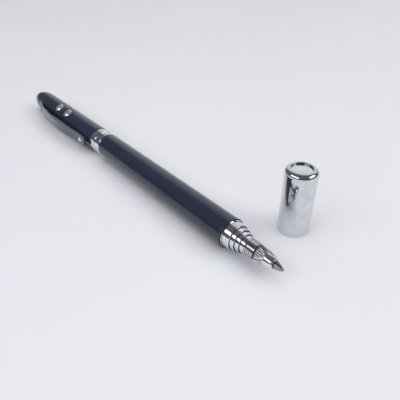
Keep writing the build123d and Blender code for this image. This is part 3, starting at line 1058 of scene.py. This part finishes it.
@dataclass
class NibHolder(SubAssembly):
    """The chrome nib holder: ringed neck, waist, fluted grip and cone."""

    neck_bore: float = 2.21
    neck_radius: float = 2.5
    neck_socket: float = 2.3
    neck_length: float = 2.9
    neck_edge: float = 0.12
    ring_count: int = 4
    ring_pitch: float = 0.64
    ring_radius: float = 0.2
    ring_depth: float = 0.12
    ring_shade_depths: Pair = (0.2, 0.7)
    waist_radius: float = 2.0
    waist_length: float = 0.5
    grip_radius: float = 2.32
    grip_end_radius: float = 1.98
    grip_length: float = 3.6
    grip_rings: int = 20
    flute_count: int = 24
    flute_radius: float = 0.2
    flute_fade: float = 0.02
    flute_steps: int = 12
    flute_shade_depth: float = 0.42
    flute_share: float = 0.8
    flute_soft: float = 0.02
    cone_radius: float = 1.45
    cone_edge: float = 0.1
    bore: float = 1.195
    waist_shade_gap: float = 0.03
    waist_shade_rise: float = 0.24
    waist_shade_edge: float = 0.1

    def neck_outline(self, start: float) -> Outline:
        """Give the neck's outside, with its fine rings.

        Args:
            start: The neck's rear end.

        Returns:
            The points, from the rear end to the waist.
        """
        middle = start + self.neck_length / 2
        out = self.neck_radius + self.ring_radius - self.ring_depth
        lean = math.degrees(math.acos((self.ring_radius - self.ring_depth) / self.ring_radius))
        points: Outline = [(start, self.neck_bore), (start, self.neck_radius)]
        for number in range(self.ring_count):
            place = middle + (number - (self.ring_count - 1) / 2) * self.ring_pitch
            size = (self.ring_radius,) * 2
            points += arc((place, out), size, INWARDS - lean, INWARDS + lean, count=6)
        return points + [(start + self.neck_length, self.neck_radius)]

    def grip_surface(self, share: float) -> float:
        """Give the grip's radius between its flutes, at a share of its length."""
        return self.grip_radius + (self.grip_end_radius - self.grip_radius) * share

    def flute_surface(self, share: float, phase: int) -> float:
        """Give the radius in a flute at a share of the grip's length.

        Args:
            share: The share of the length.
            phase: The number of steps from the flute's middle.

        Returns:
            The radius, which is the grip's own on the round ridge between two flutes.
        """
        last = self.grip_end_radius + self.flute_radius + self.flute_fade
        middle = self.grip_radius + (last - self.grip_radius) * share
        surface = self.grip_surface(share)
        depth = max(0.0, surface - middle + self.flute_radius)
        return surface - depth * (1 + math.cos(math.tau * phase / self.flute_steps)) / 2

    def flute(self, piece: Piece, start: float) -> None:
        """Press the flutes into the grip, one ring and one step off the middle at a time.

        Args:
            piece: The turned nib holder.
            start: The grip's rear end.
        """
        step = math.tau / (self.flute_count * self.flute_steps)

        def phase_of(spot: Vector) -> int:
            """Count a point's steps to the middle of the nearest flute."""
            steps = round(math.atan2(spot.y, spot.z) / step) % self.flute_steps
            return min(steps, self.flute_steps - steps)

        for ring in range(self.grip_rings + 1):
            share = ring / self.grip_rings
            surface = self.grip_surface(share)
            place = start + share * self.grip_length
            for phase in range(self.flute_steps // 2):
                floor = self.flute_surface(share, phase)
                if floor >= surface - SAME_PLACE / 4:
                    continue

                def in_flute(spot: Vector) -> bool:
                    """Say whether a point is on this ring, this far from a flute's middle."""
                    along, out = PEN_LINE.measure(spot)
                    near = abs(along - place) < SAME_PLACE and abs(out - surface) < SAME_PLACE
                    return near and phase_of(spot) == phase

                Bench.pick(piece, "VERT", in_flute)
                size = (1.0, floor / surface, floor / surface)
                bpy.ops.transform.resize(value=size, center_override=(place * MM, 0.0, 0.0))
                Bench.close()

    def groove_shades(self, start: float, waist: float, grip: float) -> tuple[GrooveShade, GrooveShade]:
        """Give the painted shade on the floors of the flutes and of the neck's rings.

        Args:
            start: The neck's rear end.
            waist: The neck's front end.
            grip: The grip's rear end.

        Returns:
            The painted shade on the flutes' floors, as far as it reaches, which also covers the
            waist, and that on the rings' floors.
        """
        shade_radii = []
        for share in (0.0, self.flute_share):
            floor = self.flute_surface(share, 0)
            shade_radii.append(floor + self.flute_shade_depth * (self.grip_surface(share) - floor))
        faded = grip + self.flute_share * self.grip_length
        depths = tuple(share * self.ring_depth for share in self.ring_shade_depths)
        return (
            GrooveShade((grip, faded), tuple(shade_radii), (0.0, self.flute_soft)),
            GrooveShade((start, waist), (self.neck_radius,) * 2, depths),
        )

    def build(self) -> None:
        """Turn the holder, flute its grip, round its ends, paint shade into its grooves and add a
        dark ring of painted shade in its waist.
        """
        start, end, _ = span("nib_holder")
        waist = start + self.neck_length
        grip = waist + self.waist_length
        outline = self.neck_outline(start)
        outline += [(waist, self.waist_radius), (grip, self.waist_radius)]
        for ring in range(self.grip_rings + 1):
            share = ring / self.grip_rings
            outline.append((grip + share * self.grip_length, self.grip_surface(share)))
        outline += [
            (end, self.cone_radius),
            (end, self.bore),
            (start + self.neck_socket, self.bore),
            (start + self.neck_socket, self.neck_bore),
        ]
        holder = PEN_LINE.turn("nib_holder_turned", outline, self.flute_count * self.flute_steps)
        self.flute(holder, grip)
        PEN_LINE.round_off(holder, Rounding([(end, self.cone_radius)], self.cone_edge, faces=3))
        PEN_LINE.round_off(holder, Rounding([(start, self.neck_radius)], self.neck_edge, faces=3))
        groove_shades = self.groove_shades(start, waist, grip)
        chrome = replace(PEN_CHROME, name="nib_chrome", groove_shades=groove_shades)
        self.keep(holder, chrome, "stage_4", "nib_holder")

        # A dark ring in the waist groove, a piece of painted shade rather than a part of the pen
        first, last = waist + self.waist_shade_gap, grip - self.waist_shade_gap
        low, high = self.waist_radius + self.waist_shade_gap, self.waist_radius + self.waist_shade_rise
        waist_shade_ring = PEN_LINE.turn(
            "nib_waist_painted_shade",
            stepped(low, [(first, high)], last),
            Turn.SMALL,
            Rounding([(first, high), (last, high)], self.waist_shade_edge, faces=3),
        )
        self.keep(waist_shade_ring, DARK_MOULDING, "stage_4")


@dataclass
class WritingPoint(SubAssembly):
    """The refill's grey metal point with its turned steps, and the ball in it."""

    channel: float = 0.25
    spigot_radius: float = 0.955
    spigot_length: float = 2.0
    shoulder_length: float = 0.4
    shoulder_edge: float = 0.06
    groove_depth: float = 0.12
    groove_width: float = 0.26
    step_share: float = 0.72
    lip_radius: float = 0.42
    ball_radius: float = 0.35

    def build(self) -> None:
        """Turn the point and the ball."""
        rear, lip, radius = span("refill_tip")
        shoulder = rear + self.spigot_length
        cone = shoulder + self.shoulder_length
        slope = (radius - self.lip_radius) / (lip - cone)
        step = cone + self.step_share * (lip - cone)
        on_cone = radius - slope * (step - cone)
        groove = (cone - self.groove_width, radius - self.groove_depth)
        steps = [(rear, self.spigot_radius), (shoulder, radius), groove]
        outline = stepped(self.channel, steps, cone)
        outline[-1:] = [(cone, radius), (step, on_cone), (step, on_cone - self.groove_depth / 2)]
        point = PEN_LINE.turn(
            "writing_point",
            [*outline, (lip, self.lip_radius), (lip, self.channel)],
            Turn.SMALL,
            Rounding([(cone, radius), (shoulder, radius)], self.shoulder_edge, faces=2),
        )
        # Painted shade in the groove in front of the shoulder, and on the spigot and channel behind
        # it
        depths = (self.shoulder_edge, self.groove_depth)
        point_groove_shade = GrooveShade((shoulder, cone), (radius,) * 2, depths)
        self.keep(point, replace(POINT_METAL, groove_shades=(point_groove_shade,)), "stage_4", "refill_tip")

        back, front, _ = span("writing_ball")
        half = arc(((back + front) / 2, 0.0), (self.ball_radius,) * 2, 180, 0, count=25)
        ball = PEN_LINE.turn("writing_ball_turned", half, Turn.TINY)
        self.keep(ball, PLAIN_STEEL, "ball", "writing_ball")


@dataclass
class MidBand(SubAssembly):
    """The mid band's two chrome rings, the front one's screw spigot and the rear one's socket."""

    cup_length: float = 4.0
    cup_radius: float = 4.08
    cup_bore: float = 3.28
    band_width: float = 3.2
    band_edge: float = 0.35
    spigot_radius: float = 3.75
    pocket_radius: float = 2.64
    pocket_depth: float = 2.0
    thread_pitch: float = 0.5
    thread_depth: float = 0.22
    thread_margin: float = 0.55
    ridge: tuple[float, ...] = (0.0, 0.4, 0.55, 0.95)
    socket_bore: float = 3.79
    socket_radius: float = 4.08

    def thread(self, first: float, last: float) -> Outline:
        """Give the outline of the screw ridges.

        Args:
            first: Where the ridges start.
            last: Where they end, further back.

        Returns:
            The points.
        """
        root = self.spigot_radius - self.thread_depth
        radii = (root, self.spigot_radius, self.spigot_radius, root)
        points: Outline = []
        for number in range(int((first - last) / self.thread_pitch)):
            place = first - number * self.thread_pitch
            for share, radius in zip(self.ridge, radii):
                points.append((place - share * self.thread_pitch, radius))
        return points

    def build(self) -> None:
        """Turn both rings and round their edges."""
        rear, front, radius = span("coupling")
        ring_front = front - self.cup_length
        ring_rear = ring_front - self.band_width
        root = self.spigot_radius - self.thread_depth
        coupling = PEN_LINE.turn(
            "mid_band_front",
            [
                (ring_front, 0.0), (ring_front, self.cup_bore), (front, self.cup_bore),
                (front, self.cup_radius), (ring_front, self.cup_radius), (ring_front, radius),
                (ring_rear, radius), (ring_rear, root),
                *self.thread(ring_rear - self.thread_margin, rear + self.thread_margin),
                (rear + self.thread_margin / 2, root), (rear, root - self.thread_depth),
                (rear, self.pocket_radius), (rear + self.pocket_depth, self.pocket_radius),
                (rear + self.pocket_depth, 0.0),
            ],
            Turn.BAND,
            Rounding([(ring_front, radius), (ring_rear, radius)], self.band_edge, faces=6),
        )
        self.keep(coupling, PEN_CHROME, "barrel", "coupling")

        seat, face, radius = span("tail_ring")
        shoulder = face - self.band_width
        socket = PEN_LINE.turn(
            "mid_band_rear",
            stepped(self.socket_bore, [(seat, self.socket_radius), (shoulder, radius)], face),
            Turn.BAND,
            Rounding([(face, radius), (shoulder, radius)], self.band_edge, faces=6),
        )
        self.keep(socket, PEN_CHROME, "tail", "tail_ring")


@dataclass
class Tail(SubAssembly):
    """The tapering lacquered tail, its bullet nose with two windows, and the two push buttons."""

    front_radius: float = 4.5
    rear_radius: float = 4.25
    cell_bore: float = 4.1
    cell_depth: float = 19.24
    rear_bore: float = 3.85
    seam: float = 0.06
    stations: int = 32
    button_names: tuple[str, ...] = ("lamp", "laser")
    button_turn: float = 28.0
    button_radius: float = 1.8
    button_gap: float = 0.04
    button_rise: float = 0.05
    button_dome: float = 0.65
    button_flange: float = 0.5
    flange_radius: float = 2.05
    flange_top: float = 3.2115
    nose_cut: float = 1.3
    nose_seat_radius: float = 3.83
    nose_seat: float = 5.0
    nose_edge: float = 0.5
    lamp_window: float = 0.9
    lamp_offset: float = 1.67
    lamp_depth: float = 4.6
    laser_window: float = 0.6
    laser_offset: float = -1.62
    laser_depth: float = 6.4

    def out(self) -> Vector:
        """Give the buttons' direction."""
        angle = math.radians(self.button_turn)
        return Vector((0.0, -math.sin(angle), math.cos(angle)))

    def surface(self, place: float) -> float:
        """Give the tail's radius.

        Args:
            place: The place along the pen.

        Returns:
            The radius there.
        """
        rear, front, _ = span("tail_tube")
        taper = self.front_radius - self.rear_radius
        return self.front_radius - taper * (front - place) / (front - rear)

    def button_line(self, name: str) -> Spindle:
        """Give the line that a button is turned about."""
        rear, front, _ = span(f"{name}_button")
        return Spindle(((rear + front) / 2, 0.0, 0.0), tuple(self.out()), ALONG_X)

    def build_tube(self) -> None:
        """Turn the tail tube and bore the two button holes in it."""
        rear, front, _ = span("tail_tube")
        step = front - self.cell_depth
        outline = [(front, self.cell_bore)]
        for number in range(self.stations + 1):
            place = front + (rear - front) * number / self.stations
            outline.append((place, self.surface(place)))
        outline += [(rear, self.rear_bore), (step, self.rear_bore), (step, self.cell_bore)]
        ends = [(front, self.front_radius), (rear, self.rear_radius)]
        seam = Rounding(ends, self.seam, faces=2)
        tube = PEN_LINE.turn("tail_tube_turned", outline, Turn.BARREL, seam)
        hole = stepped(0.0, [(0.0, self.button_radius + self.button_gap)], 2 * self.front_radius)
        for name in self.button_names:
            Bench.cut(tube, self.button_line(name).turn(f"{name}_drill", hole, Turn.DRILL))
        self.keep(tube, BLACK_LACQUER, "tail", "tail_tube")

    def build_nose(self) -> None:
        """Turn the bullet nose and bore the two windows in it."""
        end, front, _ = span("tail_nose")
        joint = front - self.nose_seat
        length = joint - end
        size = (length + self.nose_cut, self.rear_radius)
        last = math.degrees(math.acos(length / size[0]))
        bullet = [(2 * joint - x, r) for x, r in arc((joint, 0.0), size, 90, last, count=28)]
        corner = bullet[-1]
        bullet = [spot for spot in bullet if spot[0] > end + self.nose_edge]
        bullet += soft_corner(bullet[-1], corner, (end, corner[1] - self.nose_edge), count=7)
        seat = [(front, 0.0), (front, self.nose_seat_radius), (joint, self.nose_seat_radius)]
        nose = PEN_LINE.turn(
            "tail_nose_turned",
            [*seat, *bullet, (end, 0.0)],
            Turn.BAND,
            Rounding([bullet[0]], self.seam, faces=2),
        )
        windows = (
            (self.lamp_offset, self.lamp_window, self.lamp_depth),
            (self.laser_offset, self.laser_window, self.laser_depth),
        )
        for offset, window, depth in windows:
            line = Spindle((end, *(offset * self.out())[1:]))
            hole = stepped(0.0, [(-LEAD, window)], depth)
            Bench.cut(nose, line.turn("window_drill", hole, Turn.TINY))
        self.keep(nose, BLACK_LACQUER, "tail", "tail_nose")

    def build_buttons(self) -> None:
        """Turn the two domed buttons."""
        for name in self.button_names:
            line = self.button_line(name)
            edge = self.surface(line.origin[0]) + self.button_rise
            top = self.flange_top
            flange = stepped(0.0, [(top - self.button_flange, self.flange_radius)], top)
            flange[-1:] = [(top, self.button_radius)]
            button = line.turn(
                f"{name}_button_turned",
                flange + dome(edge, self.button_dome, self.button_radius, count=16),
                Turn.SMALL,
                Rounding([(edge, self.button_radius)], self.seam, faces=3),
            )
            self.keep(button, BUTTON_CHROME, f"{name}_button", f"{name}_button")

    def build(self) -> None:
        """Model the tube, the nose and the buttons."""
        self.build_tube()
        self.build_nose()
        self.build_buttons()


@dataclass
class PocketClip(SubAssembly):
    """The bowed lacquered clip on its foot, and the chrome stud near its free end."""

    thickness: float = 0.7
    width: float = 4.4
    tip_width: float = 3.6
    tip_round: float = 1.3
    tip_sweep: float = 86.0
    tip_steps: int = 8
    edge: float = 0.2
    edge_faces: int = 4
    edge_angle: float = 50.0
    foot_length: float = 2.0
    foot_depth: float = 1.6
    foot_rise: float = 0.4
    shoulder_place: float = 6.6
    shoulder_rise: float = 1.45
    crest_place: float = 23.0
    crest_rise: float = 2.65
    dip_rise: float = 1.4
    flick: float = 0.2
    ramp: float = 0.3
    ease: float = 0.12
    barrel_radius: float = 4.5
    tail_radius: float = 4.25
    seat_gap: float = 0.02
    stretch: int = 9
    stud_radius: float = 1.1
    stud_dome: float = 0.5
    stud_shank: float = 0.55
    stud_bead_radius: float = 0.85
    stud_edge: float = 0.06

    @property
    def ends(self) -> Pair:
        """The places of the foot's rear end and of the free end along the pen."""
        low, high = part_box("clip")
        return low.x / MM, high.x / MM

    @property
    def stud(self) -> float:
        """The stud's place along the pen."""
        low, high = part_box("clip_stud")
        return (low.x + high.x) / 2 / MM

    def bow(self) -> Outline:
        """Give the clip's outer face, seen from above, from its foot to its tip.

        Returns:
            Places along the pen and distances out from its line.
        """
        rear, tip = self.ends
        knots = [
            (rear + self.foot_length, self.tail_radius + self.foot_rise, self.ramp),
            (rear + self.shoulder_place, self.barrel_radius + self.shoulder_rise, self.ease),
            (rear + self.crest_place, self.barrel_radius + self.crest_rise, 0.0),
            (self.stud, self.barrel_radius + self.dip_rise, 0.0),
            (tip, self.barrel_radius + self.dip_rise + self.flick, self.ease),
        ]
        points = [knots[0][:2]]
        for (x0, y0, s0), (x1, y1, s1) in zip(knots, knots[1:]):
            length = x1 - x0
            for number in range(1, self.stretch + 1):
                t = number / self.stretch
                rise = (
                    y0 * (2 * t**3 - 3 * t**2 + 1)
                    + s0 * length * (t**3 - 2 * t**2 + t)
                    + y1 * (3 * t**2 - 2 * t**3)
                    + s1 * length * (t**3 - t**2)
                )
                points.append((x0 + t * length, rise))
        return points

    def wide(self, place: float) -> float:
        """Give the clip's width, which narrows along it and is rounded off at the tip.

        Args:
            place: The place along the pen.

        Returns:
            The width.
        """
        rear, tip = self.ends
        width = self.width + (self.tip_width - self.width) * (place - rear) / (tip - rear)
        left = self.tip_round - (tip - place)
        if left > 0:
            width -= 2 * (self.tip_round - math.sqrt(max(self.tip_round**2 - left**2, 0.0)))
        return width

    def build_strip(self) -> Piece:
        """Extrude the clip section by section, from its foot to its tip.

        Returns:
            The strip, with rounded edges.
        """
        rear, tip = self.ends
        bow = self.bow()
        near = [point for point in bow if point[0] < tip - self.tip_round]
        last = bow[-1]
        slope = (last[1] - near[-1][1]) / (last[0] - near[-1][0])
        for number in range(self.tip_steps + 1):
            angle = math.radians(self.tip_sweep * number / self.tip_steps)
            place = tip - self.tip_round * (1 - math.sin(angle))
            near.append((place, last[1] + slope * (place - last[0])))
        root = self.tail_radius + self.foot_rise
        sections = [(place, root, self.foot_depth) for place in (rear, rear + self.foot_length)]
        sections += [(place, rise, self.thickness) for place, rise in near]
        shapes = [
            (Vector((place, -(rise - deep / 2), 0.0)) * MM, deep, self.wide(place))
            for place, rise, deep in sections
        ]

        Bench.clear()
        bpy.ops.mesh.primitive_plane_add(size=MM, rotation=(0.0, math.pi / 2, 0.0))
        bpy.ops.object.transform_apply(location=False, rotation=True, scale=False)
        strip = Bench.named("pocket_clip_strip")
        middle, deep, width = shapes[0]
        Bench.edit()
        bpy.ops.transform.resize(value=(1.0, deep, width))
        bpy.ops.transform.translate(value=middle)
        for (before, old_deep, old_width), (middle, deep, width) in zip(shapes, shapes[1:]):
            Bench.draw_to(middle - before)
            size = (1.0, deep / old_deep, width / old_width)
            bpy.ops.transform.resize(value=size, center_override=middle)
        Bench.merge()
        Bench.close()
        Bench.apply(
            strip,
            "BEVEL",
            width=self.edge * MM,
            segments=self.edge_faces,
            limit_method="ANGLE",
            angle_limit=math.radians(self.edge_angle),
        )
        return strip

    def build_stud(self) -> Piece:
        """Turn the stud: domed head, shank through the clip and the bead under it.

        Returns:
            The stud.
        """
        line = Spindle((self.stud, 0.0, 0.0), (0.0, -1.0, 0.0), ALONG_X)
        low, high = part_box("clip_stud")
        foot, top = -high.y / MM, -low.y / MM
        head = top - self.stud_dome
        bead = head - self.thickness - 2 * self.seat_gap
        return line.turn(
            "pocket_clip_stud",
            [
                *dome(bead, foot - bead, self.stud_bead_radius, count=12)[::-1],
                (bead, self.stud_shank),
                (head, self.stud_shank),
                *dome(head, self.stud_dome, self.stud_radius, count=14),
            ],
            Turn.STUD,
            Rounding([(head, self.stud_radius)], self.stud_edge, faces=3),
        )

    def build(self) -> None:
        """Model the strip, hollow its foot to fit the tail, and turn the stud."""
        strip = self.build_strip()
        rear, front, _ = span("tail_tube")
        start = rear - LEAD
        low, high = self.tail_radius + self.seat_gap, self.barrel_radius + self.seat_gap
        cone = [(start, 0.0), (start, low), (front, high), (front, 0.0)]
        Bench.cut(strip, PEN_LINE.turn("foot_hollow", cone, Turn.BARREL))
        self.keep(strip, CLIP_LACQUER, "tail", "clip")
        self.keep(self.build_stud(), BUTTON_CHROME, "tail", "clip_stud")


@dataclass
class Cap(SubAssembly):
    """The drawn chrome cap, the magnet let into its end and the liner in its mouth."""

    bore: float = 4.3
    inside: float = 18.8
    magnet_gap: float = 0.02
    magnet_floor: float = 0.2
    magnet_edge: float = 0.14
    shoulder: float = 1.4
    mouth_edge: float = 0.1
    inner_edge: float = 0.4
    liner_bore: float = 3.94
    # The colour of the painted shade on the wall of the magnet's well
    sunk_shade: Colour = (0.22, 0.22, 0.235)

    @staticmethod
    def stand(node: str, foot: float) -> Triple:
        """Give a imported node's bottom and top over the cap's foot, and its radius."""
        low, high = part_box(node)
        return (low.z - foot) / MM, (high.z - foot) / MM, (high.x - low.x) / 2 / MM

    def build(self) -> None:
        """Turn the shell, the magnet and the liner about the cap's own upright line."""
        low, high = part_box("cap_shell")
        middle = (low + high) / 2 / MM
        line = Spindle((middle.x, middle.y, low.z / MM), ALONG_Z, ALONG_X)
        _, height, radius = self.stand("cap_shell", low.z)
        bottom, top, disc = self.stand("cap_magnet", low.z)
        well = disc + self.magnet_gap
        seat = self.inside + self.magnet_floor
        shell = line.turn(
            "cap_shell_drawn",
            [
                (seat, 0.0), (seat, well), (height, well), (height, radius),
                (0.0, radius), (0.0, self.bore), (self.inside, self.bore), (self.inside, 0.0),
            ],
            Turn.CAP,
            Rounding([(height, radius)], self.shoulder, faces=14),
            Rounding([(height, well)], self.magnet_edge, faces=3),
            Rounding([(0.0, radius)], self.mouth_edge, faces=3),
            Rounding([(self.inside, self.bore)], self.inner_edge, faces=4),
        )
        # Painted shade on the wall of the magnet's well and the inner part of its rounded edge, a
        # dark ring round the disc
        well_shade = GrooveShade(
            (0.0, high.z / MM + self.shoulder),
            (well + self.magnet_edge,) * 2,
            (self.magnet_edge / 2, self.magnet_edge),
            along="Z",
            across=(1.0, 1.0, 0.0),
            middle=tuple(middle),
            shade=self.sunk_shade,
        )
        self.keep(shell, replace(CAP_CHROME, groove_shades=(well_shade,)), "cap", "cap_shell")

        magnet = line.turn(
            "cap_magnet_disc",
            stepped(0.0, [(bottom, disc)], top),
            Turn.TUBE,
            Rounding([(top, disc)], self.magnet_edge, faces=3),
        )
        self.keep(magnet, NICKEL, "cap", "cap_magnet")

        start, end, outside = self.stand("cap_liner", low.z)
        bore = self.liner_bore
        liner = line.turn(
            "cap_liner_sleeve",
            stepped(bore, [(start, outside)], end),
            Turn.TUBE,
            Rounding([(start, bore), (end, bore)], self.mouth_edge, faces=2),
        )
        self.keep(liner, DARK_MOULDING, "cap", "cap_liner")


class InnerWorks:
    """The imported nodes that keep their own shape, most of them inside the pen."""

    def dress(self, frame: dict) -> None:
        """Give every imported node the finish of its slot.
        """
        for entry in frame["record"]["subparts"]:
            node = frame["nodes"][entry["node"]]
            NODE_FINISHES[entry["material_slot"]].cover(node)
            if not node.hide_render:
                log.info("%s: packed node in %s", node.name, entry["material_slot"])


@dataclass(frozen=True)
class SoftBox:
    """A large soft lamp.

    Attributes:
        name: The lamp's name.
        place: Where it stands.
        size: Its width and height.
        colour: Its colour.
        target: The point that it faces.
        power: Its power in watts.
    """

    name: str
    place: Triple
    size: Pair
    colour: Colour
    target: Triple = (-20.0, 5.0, 0.0)
    power: float = 1.2

    def hang(self) -> None:
        """Add the lamp to the scene."""
        Bench.clear()
        aim = Vector(self.target) - Vector(self.place)
        turn = aim.to_track_quat("-Z", "Y").to_euler()
        bpy.ops.object.light_add(type="AREA", location=Vector(self.place) * MM, rotation=turn)
        lamp = bpy.context.object
        lamp.name = self.name
        lamp.data.shape = "RECTANGLE"
        lamp.data.size, lamp.data.size_y = (side * MM for side in self.size)
        lamp.data.energy = self.power
        lamp.data.color = self.colour


@dataclass
class Studio:
    """Table, room, lamps and camera.

    Attributes:
        table_size: The table's length and width.
        table_cells: How many cells it has each way.
        table_drop: How far it lies under the pen.
        far_side: The direction of the pale sweep behind the pen.
        room: What glossy things show, from the near side of the room to the far side.
        fill: The colour of the backdrop and of the ceiling's light.
        climb: The ceiling's strength where it starts and overhead.
        climb_start: The height where it starts, as a share of straight up.
        lamps: The lamps.
        eye: The camera's place.
        look: The direction that it looks in.
        lens: Its focal length.
        sensor: Its sensor's width.
    """

    table_size: float = 3000.0
    table_cells: int = 8
    table_drop: float = 0.01
    far_side: Triple = (-0.532, 0.760, 0.375)
    room: tuple[tuple[float, Colour], ...] = (
        (0.30, (0.10, 0.10, 0.125)),
        (0.86, (0.12, 0.12, 0.145)),
        (0.90, (0.40, 0.41, 0.43)),
        (0.935, (0.58, 0.60, 0.63)),
        (1.00, (0.72, 0.745, 0.78)),
    )
    fill: Colour = (0.80, 0.805, 0.82)
    climb: Pair = (0.0, 1.964)
    climb_start: float = 0.35
    lamps: tuple[SoftBox, ...] = (
        SoftBox("right_softbox", (420.0, 336.0, 430.0), (440.0, 240.0), (1.0, 0.985, 0.96)),
        SoftBox("left_softbox", (-100.0, -542.0, 430.0), (677.0, 260.0), (0.95, 0.975, 1.0)),
    )
    eye: Triple = (62.1, -62.8, 72.8)
    look: Triple = (-0.6293, 0.5236, -0.5743)
    lens: float = 37.69
    sensor: float = 36.0

    def lay_table(self) -> None:
        """Add the table top under the pen."""
        low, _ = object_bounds()
        Bench.clear()
        bpy.ops.mesh.primitive_grid_add(
            x_subdivisions=self.table_cells,
            y_subdivisions=self.table_cells,
            size=self.table_size * MM,
            location=(0.0, 0.0, low.z - self.table_drop * MM),
        )
        table = Bench.named("table_top")
        TABLE_TOP.cover(table)
        table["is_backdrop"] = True

    def paint_room(self) -> None:
        """Make the room: a pale backdrop, a fill that grows towards the ceiling, and what shines.

        Glossy things show a dim room with a pale sweep behind the pen.
        """
        world = bpy.data.worlds.new("studio_room")
        bpy.context.scene.world = world
        sheet = NodeSheet(world)
        towards = sheet.coordinates["Generated"]
        facing = sheet.compute("VectorMath", "DOT_PRODUCT", towards, self.far_side)
        shown = sheet.ramp(sheet.remap(facing, (-1.0, 1.0)), self.room)
        height = sheet.add("SeparateXYZ", towards).outputs["Z"]
        strength = sheet.remap(height, (self.climb_start, 1.0), self.climb)
        seen, even, ceiling = (
            sheet.add("Background", **values).outputs["Background"]
            for values in (
                {"Color": shown},
                {"Color": opaque(self.fill)},
                {"Color": opaque(self.fill), "Strength": strength},
            )
        )
        path = sheet.add("LightPath").outputs
        plain = sheet.add("MixShader", path["Is Camera Ray"], ceiling, even)
        either = sheet.add("MixShader", path["Is Glossy Ray"], plain.outputs["Shader"], seen)
        sheet.add("OutputWorld", Surface=either.outputs["Shader"])

    def place_camera(self) -> None:
        """Add the camera where the photograph was taken from."""
        Bench.clear()
        turn = Vector(self.look).to_track_quat("-Z", "Y").to_euler()
        bpy.ops.object.camera_add(location=Vector(self.eye) * MM, rotation=turn)
        camera = bpy.context.object
        camera.name = "photo_camera"
        camera.data.sensor_width = self.sensor
        camera.data.lens = self.lens
        camera.data.clip_start = MM
        bpy.context.scene.camera = camera
        bpy.context.scene.view_settings.view_transform = "Standard"

    def build(self) -> None:
        """Set up the table, the room, the lamps and the camera."""
        self.lay_table()
        self.paint_room()
        for lamp in self.lamps:
            lamp.hang()
        self.place_camera()


def main() -> None:
    """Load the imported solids, build each sub-assembly over them and set up the studio."""
    logging.basicConfig(level=logging.INFO, format="%(name)s: %(message)s")
    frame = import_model()
    for kind in (FrontBarrel, Telescope, NibHolder, WritingPoint, MidBand, Tail, PocketClip, Cap):
        assembly = kind()
        assembly.build()
        assembly.dress()
    InnerWorks().dress(frame)
    Studio().build()


if __name__ == "__main__":
    main()
